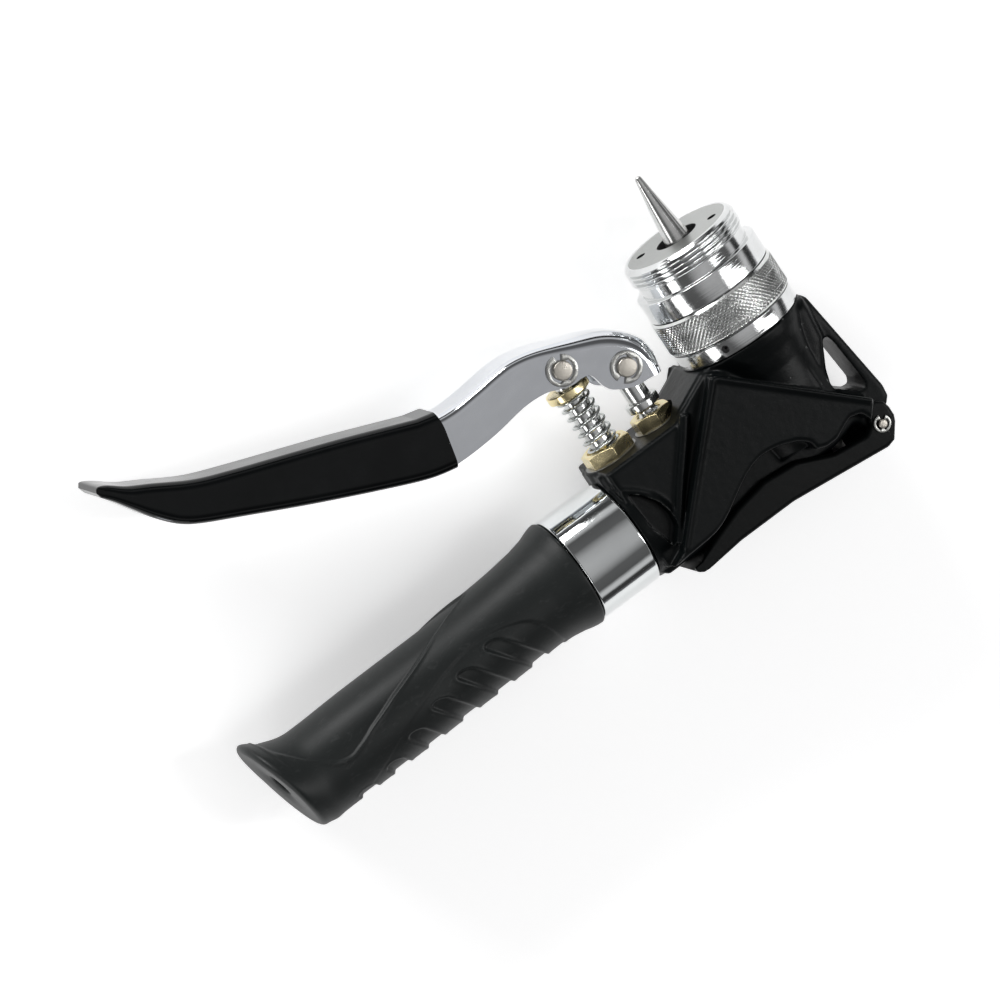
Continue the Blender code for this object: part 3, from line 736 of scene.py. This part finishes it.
mandrel = lathe("mandrel_cone", [(54.4, 0), (54.4, 2.1), (60.3, 2.1), (60.3, 4.1), (62.4, 4.3), (64.4, 3.95), (84.2, 1.22), (84.9, 1.05), (85.28, 0.6), (85.3, 0)], "y", (0, 0, 0), 96, 0.3, 3)
dress(mandrel, "mandrel")
place(mandrel, "ram", ["mandrel"])
ramp_ = lathe("ram_rod", [(14.6, 0), (14.6, 12.8), (18.4, 12.8), (18.4, 11.0), (21.0, 11.0), (21.0, 12.8), (24.0, 12.8), (24.0, 6.5), (60.0, 6.5), (60.0, 2.3), (54.0, 2.3), (54.0, 0)], "y", (0, 0, 0), 72, 0.35)
dress(ramp_, "steel")
place(ramp_, "ram", ["ram_piston"])

# ============================== brass, post, rod =============================
def hex_nut(name, x, af, t0, t1, bore, recess=None, turn=0.0):
    r = af / 2 / math.cos(math.pi / 6)
    hexa = lathe(name, [(t0, 0), (t0, r), (t1, r), (t1, 0)], "y", (x, 0, 0), 6, turn=turn)
    h = (r - af / 2) * 0.62
    cone = lathe("k", [(t0 - 0.1, 0), (t0 - 0.1, r * 1.01), (t1 - h, r * 1.01), (t1 + 0.001, af / 2 * 0.98), (t1 + 0.001, 0)], "y", (x, 0, 0), 96)
    hexa = common(hexa, cone)
    if recess:
        tool = lathe("k", [(t0 - 1, 0), (t0 - 1, bore), (recess[1], bore), (recess[1], recess[0]), (t1 - 0.35, recess[0]), (t1 + 0.05, recess[0] + 0.4), (t1 + 1, recess[0] + 0.4), (t1 + 1, 0)], "y", (x, 0, 0), 64)
    else:
        tool = lathe("k", [(t0 - 1, 0), (t0 - 1, bore), (t1 - 0.4, bore), (t1 + 0.05, bore + 0.45), (t1 + 1, bore + 0.45), (t1 + 1, 0)], "y", (x, 0, 0), 64)
    hexa = cut(hexa, tool, sharp=24.0)
    bv = hexa.modifiers.new("bv", "BEVEL")
    bv.width = 0.16 * MM
    bv.segments = 3
    bv.limit_method = "ANGLE"
    bv.angle_limit = math.radians(26)
    bv.harden_normals = False
    weighted(hexa)
    return hexa


HEX_TURN = math.radians(0)
gland = dress(hex_nut("gland_nut", PUMP_PIN[0], 14.6, 21.1, 25.3, 4.05, (5.8, 24.2), HEX_TURN), "brass")
place(gland, "frame", ["pump_gland_nut"])
fnut = dress(hex_nut("post_nut", FULCRUM[0], 12.0, 21.1, 25.3, 4.0, None, HEX_TURN), "brass")
place(fnut, "frame", ["fulcrum_nut"])

fx = FULCRUM[0]
ball = [(22.6 + 4.2 * math.sin(math.radians(a)), 4.2 * math.cos(math.radians(a))) for a in range(-80, 44, 6)]
post = lathe("post_rod", [(18.4, 0)] + ball + [(25.7, 3.0), (26.4, 3.0), (26.9, 3.7), (40.0, 3.7), (40.0, 0)], "y", (fx, 0, 0), 72)
eye = prism("post_eye", arc(*FULCRUM, 5.6, 0, 352.5, 47), 6.1, 0.5, 3)
eye = cut(eye, lathe("k", [(-8, 0), (-8, 3.08), (8, 3.08), (8, 0)], "z", (*FULCRUM, 0), 48))
dress(post, "rod")
dress(eye, "rod")
place(post, "post", ["fulcrum_post"])
place(eye, "post", ())
pcol = lathe("post_ring", [(27.2, 3.72), (27.2, 5.4), (29.9, 5.4), (29.9, 3.72)], "y", (fx, 0, 0), 96, 0.42, 4)
dress(pcol, "rod")
place(pcol, "post", ["post_collar"])

px = PUMP_PIN[0]
prod = lathe("plunger_rod", [(0.4, 0), (0.4, 3.8), (2.6, 3.8), (2.6, 3.0), (4.4, 3.0), (4.4, 3.85), (42.9, 3.85), (42.9, 3.3), (49.2, 3.3), (49.2, 0)], "y", (px, 0, 0), 72, 0.2)
peye = prism("plunger_eye", arc(*PUMP_PIN, 5.4, 0, 352.5, 47), 6.1, 0.5, 3)
peye = cut(peye, lathe("k", [(-8, 0), (-8, 3.5), (8, 3.5), (8, 0)], "z", (*PUMP_PIN, 0), 48))
dress(prod, "rod")
dress(peye, "rod")
place(prod, "pump", ["pump_rod"])
place(peye, "pump", ())
cap = lathe("spring_seat", [(43.8, 3.4), (43.8, 7.0), (46.4, 7.0), (46.4, 3.4)], "y", (px, 0, 0), 128, 0.4, 4)
dress(cap, "brass")
place(cap, "pump", ["spring_cap"])
spring = coil("pump_coil", "y", (px, 0, 0), 4.92, 0.48, 24.25, 43.75, 7.4, 44, 14)
dress(spring, "spring")
place(spring, "frame", ["pump_spring"])
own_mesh(spring)
rspring = coil("ram_coil", "y", (0, 0, 0), 9.4, 1.0, 24.15, 50.35, 6.5, 40, 12)
dress(rspring, "spring")
place(rspring, "frame", ["ram_spring"])
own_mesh(rspring)


# ================================== collar ===================================
collar = lathe("collar_shell", [(-62.45, 11.3), (-62.45, 17.5), (-81.2, 17.5), (-81.6, 14.6), (-83.4, 14.2), (-83.4, 11.3)], "x", (0, 0, 0), 192, sharp=30.0) if False else None
cp = fillet([(-62.6, 11.4), (-62.6, 17.5), (-83.35, 17.5), (-83.35, 11.4)], [0, 0.7, 0.9, 0], 8)
collar = lathe("collar_shell", cp, "x", (0, 0, 0), 192, sharp=40.0)
dress(collar, "chrome_collar")
place(collar, "frame", ["reservoir_collar"])


# =================================== grip ====================================
GRIP = [(-84.4, 17.8, 18.1), (-86.5, 17.4, 17.9), (-90.0, 16.2, 17.1), (-95.0, 15.2, 16.4), (-104.0, 14.2, 16.6), (-113.0, 13.6, 17.0), (-125.0, 13.1, 17.3), (-134.0, 12.9, 17.4), (-152.0, 12.7, 17.6), (-163.0, 12.5, 17.8), (-178.0, 12.0, 17.9), (-182.5, 12.3, 18.0), (-187.3, 14.5, 18.2), (-191.4, 16.9, 17.6)]
SWOOSH = [(-106.0, -40.0), (-114.8, 0.0), (-125.0, 21.0), (-138.5, 44.0), (-151.9, 61.0), (-162.2, 74.0), (-168.9, 83.0), (-173.1, 85.5), (-178.0, 77.0), (-184.0, 54.0), (-187.5, 29.0), (-189.0, -20.0)]
PANEL = [(-97.0, 150.0), (-100.6, 112.0), (-104.0, 92.0), (-107.1, 83.0), (-113.4, 74.0), (-122.7, 69.0), (-132.6, 74.0), (-145.0, 88.0), (-156.0, 104.0), (-170.0, 135.0), (-178.0, 170.0)]
# left end of each finger slot: x and y on the near surface
SLOTS = [(-117.4, -0.8), (-129.2, -3.2), (-140.6, -6.0), (-151.4, -9.6), (-161.5, -13.6), (-172.5, -15.4)]


def table(tab, x, col=1):
    if x >= tab[0][0]:
        return tab[0][col]
    for i in range(len(tab) - 1):
        a, b = tab[i], tab[i + 1]
        if b[0] <= x <= a[0]:
            f = (x - a[0]) / (b[0] - a[0])
            p0 = tab[i - 1][col] if i else a[col]
            p3 = tab[i + 2][col] if i + 2 < len(tab) else b[col]
            p1, p2 = a[col], b[col]
            return 0.5 * (2 * p1 + (p2 - p0) * f + (2 * p0 - 5 * p1 + 4 * p2 - p3) * f * f + (3 * p1 - p0 - 3 * p2 + p3) * f ** 3)
    return tab[-1][col]


def sstep(a, b, x):
    t = min(1.0, max(0.0, (x - a) / (b - a)))
    return t * t * (3 - 2 * t)


def grip_relief(x, deg, r, yy):
    """How much lower the surface is than the plain sleeve, in mm; both sides alike."""
    per = r * math.pi / 180
    low = 0.0
    if -190.0 < x < -106.0:
        line = table(SWOOSH, x)
        slope = (table(SWOOSH, x - 0.4) - table(SWOOSH, x + 0.4)) / 0.8 * per
        d = (line - deg) * per / math.sqrt(1 + slope * slope)
        low += 0.55 * sstep(-0.1, 0.55, d)
        low += 0.30 * math.exp(-((d / 0.40) ** 2)) - 0.26 * math.exp(-(((d + 0.8) / 0.55) ** 2))
    if -178.0 < x < -97.0:
        line = table(PANEL, x)
        slope = (table(PANEL, x - 0.4) - table(PANEL, x + 0.4)) / 0.8 * per
        d = (deg - line) * per / math.sqrt(1 + slope * slope)
        fade = sstep(-150.0, -130.0, x) * 0.75 + 0.25
        low += 0.42 * fade * sstep(0.0, 0.8, d) + 0.12 * fade * math.exp(-(((d - 0.3) / 0.35) ** 2))
    if deg > 60.0:
        for x0, y0 in SLOTS:
            run = y0 - yy
            along = run * 1.226
            across = (x - x0 - 0.71 * run) * 0.815
            per_y = max(0.18, math.sin(math.radians(deg)))
            dist = math.hypot(across, max(0.0, -along / per_y)) - 2.3
            low += 0.85 * (1.0 - sstep(-0.4, 0.4, dist))
            low -= 0.10 * math.exp(-(((dist - 0.75) / 0.45) ** 2))
    return low


NG = 240
step = 0.36
xs = []
x = -84.4
while x > -191.3:
    xs.append(x)
    x -= step
rows = [("f", -84.6, 11.6, 0), ("f", -83.75, 14.0, 0), ("f", -83.62, 16.2, 0), ("f", -83.6, 16.9, 0), ("f", -83.7, 17.35, 0), ("f", -83.95, 17.7, 0)]
rows += [("m", q, 0, 0) for q in xs]
for a in range(1, 10):
    rows.append(("e", -191.4, 0, math.radians(a * 10)))
rows.append(("c", -191.4, 11.0, 0))
rows.append(("c", -191.4, 4.3, 0))
rows.append(("c", -190.8, 3.7, 0))
rows.append(("c", -184.0, 3.7, 0))


def grip_pt(i, j):
    kind, x, r0, a = rows[j]
    th = 2 * math.pi * i / NG
    deg = math.degrees(th)
    deg = min(deg, 360 - deg)
    cy, cz = math.cos(th), math.sin(th)
    tilt = 0.0
    if kind == "f":
        return (x, r0 * cy + (-0.15 if r0 > 15 else 0), r0 * cz)
    up, low = table(GRIP, x, 1), table(GRIP, x, 2)
    c, r = (up - low) / 2, (up + low) / 2
    tilt = -4.0 * cy * sstep(-176.0, -191.0, x) if x < -178 else 0.0
    if kind == "m":
        rr = r - grip_relief(x, deg, r, c + r * cy)
        return (x + tilt, c + rr * cy, rr * 0.985 * cz)
    if kind == "e":
        k = 1.9 + 1.0 * max(0.0, -cy)
        rr = r - k * (1 - math.cos(a))
        return (x + tilt - k * math.sin(a) * 0.75, c + rr * cy, rr * 0.985 * cz)
    f = r0 / r
    return (x + tilt * f - 1.45 + (0.5 if r0 < 8 else 0), c * f + r0 * cy * 1.0, r0 * cz)


grip = surface("grip_skin", grip_pt, NG, len(rows), sharp=70.0)
dress(grip, "rubber")
place(grip, "frame", ["grip_sleeve"])


# =================================== lever ===================================
LEVER_TOP = [(-187.0, 106.2), (-181.5, 101.6), (-175.0, 97.8), (-163.5, 91.2), (-151.5, 86.3), (-136.3, 80.7), (-121.1, 75.1), (-106.3, 69.0), (-96.0, 65.0), (-88.0, 63.6), (-78.5, 64.0), (-70.0, 64.7), (-64.0, 64.6), (-56.6, 62.9), (-46.0, 59.0), (-36.8, 55.3), (-31.0, 51.0), (-27.2, 46.0), (-26.2, 41.0), (-26.8, 37.2), (-27.6, 34.0)]
LEVER_LOW = [(-30.4, 35.0), (-32.3, 35.2), (-37.8, 36.0), (-43.2, 38.8), (-45.2, 41.4), (-46.0, 44.4), (-47.0, 46.8), (-49.6, 47.5), (-52.8, 47.5), (-57.0, 48.8), (-61.5, 50.4), (-69.1, 50.8), (-81.8, 49.2), (-95.6, 49.0), (-104.4, 51.4), (-118.9, 58.0), (-138.4, 67.0), (-157.2, 76.3), (-171.5, 83.6), (-178.0, 88.0), (-184.5, 98.0)]
top_s = catmull(LEVER_TOP, 8)
low_s = catmull(LEVER_LOW, 8)
deep = top_s + [(-27.9, 24.0), (-60.0, 24.0), (-100.0, 30.0), (-184.5, 80.0)]
# rounding of the pressing: tight along the back, generous round the closed end
rr = []
for (qx, qy) in deep:
    k = sstep(-60.0, -34.0, qx) * sstep(30.0, 44.0, qy)
    rr.append(2.9 + 1.9 * k)
lever = prism("lever_channel", deep, 8.5, rr, 8)
WALL = inset(deep, 1.9)[: len(top_s)]
gut_out = WALL[8:-2] + [(-29.6, 30.0), (-29.8, 16.0), (-60.0, 16.0), (-100.0, 20.0), (-196.0, 74.0)]
gut = prism("k", gut_out, 6.6, 1.2, 5)
under = prism("k", [(-15.0, 31.6)] + low_s + [(-186.2, 103.2), (-189.0, 108.0), (-215.0, 120.0), (-215.0, 5.0), (-15.0, 5.0)], 14.0)
lever = cut(lever, gut, under,
            lathe("k", [(-12, 0), (-12, 3.06), (12, 3.06), (12, 0)], "z", (*FULCRUM, 0), 48),
            lathe("k", [(-12, 0), (-12, 3.06), (12, 3.06), (12, 0)], "z", (*PUMP_PIN, 0), 48), sharp=30.0)
bv = lever.modifiers.new("bv", "BEVEL")
bv.width = 0.32 * MM
bv.segments = 3
bv.limit_method = "ANGLE"
bv.angle_limit = math.radians(55)
weighted(lever)
dress(lever, "chrome_lever")
place(lever, "lever", ["pump_lever"])

SL_TOP = [(-191.2, 107.3), (-190.0, 108.6), (-187.0, 107.2), (-181.8, 103.1), (-175.2, 99.3), (-163.9, 92.7), (-151.9, 87.8), (-136.7, 82.2), (-121.6, 76.6), (-108.0, 71.2), (-98.0, 67.2)]
SL_END = [(-92.6, 66.2), (-92.8, 61.3), (-93.9, 56.0), (-95.6, 48.4)]
SL_LOW = [(-95.0, 47.6), (-104.6, 50.0), (-119.4, 56.3), (-138.9, 65.3), (-157.8, 74.6), (-169.0, 80.2), (-175.0, 84.2), (-180.2, 90.0), (-184.3, 96.2), (-187.8, 101.6), (-190.6, 105.2)]
big = catmull(SL_TOP, 8) + [(-90.0, 65.2), (-80.0, 65.0), (-78.0, 47.4)] + catmull(SL_LOW, 8)
brr = [3.4 if q[0] > -180 else max(1.1, 3.4 - (-180 - q[0]) * 0.18) for q in big]
sleeve = prism("handle_sleeve", big, 9.9, brr, 8)
mouth = prism("k", [(-91.6, 84.0)] + catmull([(-92.2, 72.6)] + SL_END + [(-96.6, 44.0)], 6) + [(-97.6, 30.0), (-60.0, 30.0), (-60.0, 84.0)], 14.0)
core = [q for q in top_s if q[0] < -100.0] + [(-92.0, 65.5), (-76.0, 64.0), (-76.0, 50.0)] + [q for q in low_s if q[0] < -90.0]
inner = prism("k", inset(core, -0.12), 8.6, 2.9, 6)
sleeve = cut(sleeve, inner, mouth, sharp=40.0)
bv = sleeve.modifiers.new("bv", "BEVEL")
bv.width = 0.4 * MM
bv.segments = 3
bv.limit_method = "ANGLE"
bv.angle_limit = math.radians(50)
weighted(sleeve)
dress(sleeve, "vinyl")
place(sleeve, "lever", ["lever_sleeve"])


def pin(name, xy, half, r, dome=0.25):
    return lathe(name, [(-half, 0), (-half, r), (half, r), (half, 0)], "z", (*xy, 0), 64, 0.45, 4)


def e_clip(name, xy, z0, z1, r_in, r_out, gap_deg, turn):
    """Round retaining clip: outer ring, three inner lobes, open mouth."""
    pts = []
    n = 60
    a0, a1 = turn + gap_deg / 2, turn + 360 - gap_deg / 2
    for i in range(n + 1):
        a = math.radians(a0 + (a1 - a0) * i / n)
        pts.append((xy[0] + r_out * math.cos(a), xy[1] + r_out * math.sin(a)))
    for i in range(n + 1):
        s = 1 - i / n
        a = math.radians(a0 + (a1 - a0) * s)
        rel = (a0 + (a1 - a0) * s - turn) % 360
        lobe = min(abs(rel - c) for c in (gap_deg / 2 + 12, 180, 360 - gap_deg / 2 - 12))
        r = r_in + (r_out - r_in) * 0.42 * sstep(9.0, 24.0, lobe)
        pts.append((xy[0] + r * math.cos(a), xy[1] + r * math.sin(a)))
    return prism(name, pts, 0, 0.14, 2, (z0, z1))


fp = dress(pin("fulcrum_rivet", FULCRUM, 10.4, 3.0), "pin")
place(fp, "lever", ["fulcrum_pin"])
pp = dress(pin("pump_rivet", PUMP_PIN, 10.4, 3.0), "pin")
place(pp, "lever", ["pump_pin"])
for tag, node, xy, turn in (("fulcrum_ring", "fulcrum_clip", FULCRUM, 215.0), ("pump_ring", "pump_clip", PUMP_PIN, 75.0)):
    for side, s in (("upper", 1), ("lower", -1)):
        c = e_clip(tag + "_" + side, xy, min(s * 8.55, s * 9.35), max(s * 8.55, s * 9.35), 3.02, 5.0, 30.0, turn)
        dress(c, "clip")
        place(c, "lever", [node + "_" + side])


# =============================== release lever ===============================
RL_LOW = [(-53.7, -19.2), (-53.2, -20.9), (-51.6, -21.9), (-49.6, -22.1), (-36.8, -21.1), (-16.9, -21.0), (16.7, -24.9), (19.1, -23.9), (22.4, -19.8), (23.25, -17.8), (23.3, -15.1), (22.6, -12.4), (20.0, -10.5)]
RL_UP = [(18.3, -10.9), (16.9, -12.6), (15.4, -15.6), (12.4, -17.6), (1.0, -16.1), (-9.9, -11.2), (-21.4, -10.1), (-33.2, -12.1), (-43.7, -15.5), (-50.6, -18.9)]
rl = fillet(RL_LOW + RL_UP, [0.7, 0.8, 0.8, 2, 8, 14, 3.0, 1, 1.6, 1.6, 1.6, 1.8, 1.8, 1.4, 1.5, 2.0, 2.2, 6, 8, 8, 8, 6, 2], 5)
rel = prism("release_channel", rl, 12.3, [0.4 + 1.1 * sstep(-51.5, -44.0, q[0]) * (1 - 0.6 * sstep(13.0, 17.0, q[0]) * sstep(-15.5, -12.5, q[1])) for q in rl], 6)
fl = [(40.0, 5.0), (40.0, -21.6), (24.8, -21.6), (21.2, -21.6), (18.2, -23.0), (16.4, -23.5), (-16.8, -19.7), (-36.8, -19.8), (-49.4, -20.7), (-52.0, -20.4), (-60.0, -20.4), (-60.0, 5.0)]
rel = cut(rel, prism("k", fillet(fl, [0, 0, 0, 0.5, 1.0, 1.5, 8, 8, 1, 0.3, 0, 0], 4), 10.9, 1.0, 4),
          lathe("k", [(-14, 0), (-14, 1.5), (14, 1.5), (14, 0)], "z", (*RELEASE_PIVOT, 0), 40), sharp=30.0)
bv = rel.modifiers.new("bv", "BEVEL")
bv.width = 0.25 * MM
bv.segments = 2
bv.limit_method = "ANGLE"
bv.angle_limit = math.radians(50)
weighted(rel)
dress(rel, "pressed")
place(rel, "release", ["release_lever"])
rp = dress(pin("release_rivet", RELEASE_PIVOT, 13.9, 1.4), "pin")
place(rp, "frame", ["release_pin"])
for side, s in (("upper", 1), ("lower", -1)):
    c = e_clip("release_ring_" + side, RELEASE_PIVOT, min(s * 12.45, s * 13.1), max(s * 12.45, s * 13.1), 1.42, 2.75, 46.0, 60.0)
    dress(c, "clip")
    place(c, "frame", ["release_clip_" + side])
plunger = lathe("relief_stem", [(-21.6, 0), (-21.4, 1.0), (-20.4, 2.2), (-12.2, 2.2), (-12.2, 1.5), (-9.6, 1.5), (-9.6, 0)], "y", (6.0, 0, 0), 48, 0.3)
dress(plunger, "steel")
place(plunger, "relief", ["release_plunger"])


# =================================== body ====================================
VOX = 0.34


def solid(outline, half, rad=0.0, z0=None, k=4):
    return prism("p", outline, half, rad, k, z0)


def beads(pts, z, r):
    """The same round bead on both sides of the mid-plane."""
    return [tube_along("p", [(x, y, s * z) for x, y in pts], r) for s in (1, -1)]


LOWER = [(-60.9, -13.6), (-53.5, -13.1), (-44.0, -12.4), (-38.0, -10.3), (-31.4, -6.4), (-25.6, -3.3), (-19.9, -1.7), (-13.6, -2.4), (-7.6, -4.7), (-4.9, -7.0), (-4.2, -10.2), (-1.0, -11.4), (3.0, -11.3), (7.4, -9.2), (9.8, -8.4), (13.2, -9.4), (14.9, -13.0)]
low = catmull(LOWER[:9], 4)[:-1] + LOWER[8:]
parts = []
# pump block
parts.append(solid(low[:40] + [(9.2, -8.8), (9.2, 15.0), (-19.5, 27.9), (-31.6, 22.4), (-34.4, 20.75), (-60.9, 20.75)], 15.2, 1.5))
parts.append(solid([(-62.3, -15.0), (-60.0, -17.0), (-51.0, -17.0), (-20.0, -15.4), (4.0, -15.6), (13.0, -13.2), (13.0, 0.0), (4.0, 20.0), (-33.0, 20.0), (-62.3, 20.0)], 9.2, 1.2))
parts.append(lathe("p", [(-62.3, 0), (-62.3, 16.9), (-61.6, 17.4), (-58.0, 17.5), (-52.0, 17.3), (-45.0, 12.0), (-45.0, 0)], "x", (0, 0, 0), 96))
# round bosses that carry the brass nuts
parts.append(lathe("p", [(2.0, 0), (2.0, 8.0), (14.0, 9.4), (20.6, 9.6), (20.9, 9.3), (20.9, 0)], "y", (PUMP_PIN[0], 0, 0), 72))
parts.append(lathe("p", [(4.0, 0), (4.0, 7.0), (20.4, 7.9), (20.7, 7.6), (20.7, 0)], "y", (FULCRUM[0], 0, 0), 72))
# slanted shoulder towards the lock ring
parts.append(solid([(-34.4, 14.0), (-34.4, 20.4), (-31.4, 22.8), (-20.3, 28.1), (-8.0, 28.1), (-8.0, 10.0)], 12.5, 1.2))
# gusset plates: recessed face with a ridge round it
G = low + [(18.9, -8.2), (-18.9, 27.2), (-55.2, -11.1)]
parts.append(solid(G, HALF - 0.75, 1.3))
A, B, C = (-18.7, 26.6), (-54.4, -10.9), (18.0, -8.0)


def seg(a, b, n=24):
    return [(a[0] + (b[0] - a[0]) * i / n, a[1] + (b[1] - a[1]) * i / n) for i in range(n + 1)]


parts += beads(seg(A, B), HALF - 1.05, [1.15 - 0.25 * i / 24 for i in range(25)])
parts += beads(seg(A, C), HALF - 0.95, 0.85)
# second ridge left of the gusset, meeting it at the bottom
parts += beads(catmull([(-31.2, 21.8), (-36.0, 15.2), (-43.4, 6.0), (-50.0, -3.0), (-53.9, -9.3)], 8), 15.6, [1.5, ] * 33)
parts += beads(catmull([(-60.0, 14.4), (-55.2, 10.6), (-51.4, 5.6), (-49.6, 0.0), (-50.2, -5.0)], 8), 14.75, 0.85)
# ram barrel and its conical blend into the ring
parts.append(lathe("p", [(-9.0, 0), (-9.0, 16.0), (-4.0, 16.6), (8.0, 16.9), (16.0, 17.5), (21.5, 18.6), (25.0, 19.8), (28.15, 20.35), (28.15, 0)], "y", (0, 0, 0), 128))
parts.append(solid([(-6.0, 28.0), (19.8, 28.0), (19.9, 24.0), (19.1, 14.1), (11.5, 0.9), (6.0, -6.0), (-6.0, -6.0)], 12.0, 4.0, k=6))
# strut with window
strut = solid([(8.0, 28.15), (20.2, 28.15), (21.2, 26.5), (26.0, -9.0), (25.6, -12.6), (23.8, -14.6), (22.3, -14.9), (21.2, -20.1), (18.6, -20.9), (15.9, -20.2), (14.6, -17.6), (13.5, -14.4), (8.0, -11.0)], 9.2, 1.1)
parts.append(strut)
body = join("body_casting", parts)
body = voxel(body, VOX, 5)
win = prism("k", fillet([(17.6, 13.4), (19.8, 13.2), (20.6, 10.5), (22.0, -4.6), (21.2, -6.6), (18.9, -6.4), (12.4, -0.6), (12.2, 1.6)], [1.0, 0.8, 2, 1.2, 1.0, 1.2, 1.2, 1.5], 4), 30.0)
relief = []
for s in (1, -1):
    z0, z1 = (12.9, 24.0) if s > 0 else (-24.0, -12.9)
    relief.append(prism("k", fillet([(-59.2, 12.6), (-55.4, 9.4), (-52.4, 5.0), (-51.0, 0.0), (-51.4, -4.0), (-55.8, -9.4), (-58.4, 0.0)], [0.8, 3, 4, 3, 1.5, 0.8, 6], 5), 0, 0.0, 1, (z0, z1)))
body = cut(body, win, *relief, sharp=0)
body = voxel(body, VOX, 3)
holes = [lathe("k", [(10.0, 0), (10.0, 5.6), (24.0, 5.6), (24.0, 0)], "y", (fx, 0, 0), 48),
         lathe("k", [(10.0, 0), (10.0, 5.6), (24.0, 5.6), (24.0, 0)], "y", (px, 0, 0), 48),
         lathe("k", [(20.85, 0), (20.85, 7.5), (34.0, 7.5), (34.0, 0)], "y", (fx, 0, 0), 64),
         lathe("k", [(-18.0, 0), (-18.0, 2.6), (-8.0, 2.6), (-8.0, 0)], "y", (6.0, 0, 0), 32),
         lathe("k", [(14.2, 0), (14.2, 13.1), (34.0, 13.1), (34.0, 0)], "y", (0, 0, 0), 96)]
body = cut(body, *holes, sharp=38.0)
dress(body, "cast", "alu")
place(body, "frame", ["pump_body"])

# bare machined tops of the two bosses
for tag, x0, r_ in (("pump", px, 8.7), ("post", fx, 7.2)):
    ring = lathe("spot_face_" + tag, [(20.7, 5.6), (20.7, r_), (21.02, r_), (21.02, 5.6)], "y", (x0, 0, 0), 96, 0.1, 2)
    dress(ring, "alu")
    place(ring, "frame", ())

# hidden pieces keep their solids and get a finish
for node, key in (("ram_seal", "inner_rubber"), ("reservoir_tube", "steel"), ("oil_bladder", "inner_rubber"), ("reservoir_plug", "steel"), ("ball_seat", "steel"), ("pump_seal", "inner_rubber")):
    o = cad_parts[node]
    o.data.materials.clear()
    o.data.materials.append(M[key])


# ============================= floor, light, camera ==========================
def grid_plane(name, size, z):
    me = bpy.data.meshes.new(name)
    s = size / 2
    me.from_pydata([(-s, -s, z), (s, -s, z), (s, s, z), (-s, s, z)], [], [(0, 1, 2, 3)])
    o = bpy.data.objects.new(name, me)
    scene.collection.objects.link(o)
    return o


floor = grid_plane("floor", 6.0, -0.0004)
n = Nodes("floor_paper")
tex = n.noise(900.0, 3.0)
fm = n.out(n.ramp(tex, [(0.3, (0.93, 0.93, 0.93)), (0.7, (0.95, 0.95, 0.95))]), 0.75, 0.0, n.bump(tex, 0.0001, 0.15), Emission_Color=(1.0, 1.0, 1.0, 1.0), Emission_Strength=0.46)
floor.data.materials.append(fm)

TARGET = Vector((-0.0893, 0.0305, HALF * MM))
CR = Vector((0.791, -0.538, 0.300)).normalized()
CDIR = CR.cross(Vector((0.596, 0.819, -0.087)).normalized()).normalized()
CU = CDIR.cross(CR).normalized()
TARGET = TARGET + CR * 0.0004
DIST, LENS = 6.0, 726.0
cam = bpy.data.cameras.new("camera")
cam.lens = LENS
cam.sensor_width = 36.0
cam.clip_start = 0.05
co = bpy.data.objects.new("camera", cam)
scene.collection.objects.link(co)
from mathutils import Matrix
R = Matrix((CR, CU, CDIR)).transposed().to_4x4()
R.translation = TARGET + CDIR * DIST
co.matrix_world = R
scene.camera = co


def area(name, direction, dist, size, power, color=(1, 1, 1), size_y=None):
    l = bpy.data.lights.new(name, "AREA")
    l.shape = "RECTANGLE"
    l.size = size
    l.size_y = size_y or size
    l.energy = power
    l.color = color
    o = bpy.data.objects.new(name, l)
    d = Vector(direction).normalized()
    o.location = TARGET + d * dist
    o.rotation_euler = d.to_track_quat("Z", "Y").to_euler()
    scene.collection.objects.link(o)
    return o


def cam_dir(r, u, f):
    return CR * r + CU * u + CDIR * f


area("key", cam_dir(-0.80, 0.95, 0.80), 1.5, 1.1, 17.0, size_y=0.34)
area("fill", cam_dir(1.05, 0.05, 0.62), 1.5, 0.30, 6.5, size_y=1.1)
area("low", cam_dir(-0.65, -0.95, 0.60), 1.5, 0.9, 5.0, size_y=0.45)

w = bpy.data.worlds.new("studio")
scene.world = w
w.use_nodes = True
bg = w.node_tree.nodes["Background"]
bg.inputs["Strength"].default_value = 1.0
tcw = w.node_tree.nodes.new("ShaderNodeTexCoord")
sepw = w.node_tree.nodes.new("ShaderNodeSeparateXYZ")
rmp = w.node_tree.nodes.new("ShaderNodeValToRGB")
w.node_tree.links.new(tcw.outputs["Generated"], sepw.inputs["Vector"])
w.node_tree.links.new(sepw.outputs["Z"], rmp.inputs["Fac"])
el = rmp.color_ramp.elements
el[0].position, el[0].color = 0.0, (0.20, 0.20, 0.21, 1)
el[1].position, el[1].color = 1.0, (0.50, 0.50, 0.505, 1)
for pos, val in ((0.10, 0.04), (0.24, 0.05), (0.33, 0.62), (0.44, 0.58), (0.55, 0.10), (0.80, 0.12), (0.93, 0.42)):
    e2 = el.new(pos)
    e2.color = (val, val, val * 1.01, 1)
w.node_tree.links.new(rmp.outputs["Color"], bg.inputs["Color"])
scene.view_settings.view_transform = "Standard"
scene.view_settings.look = "None"
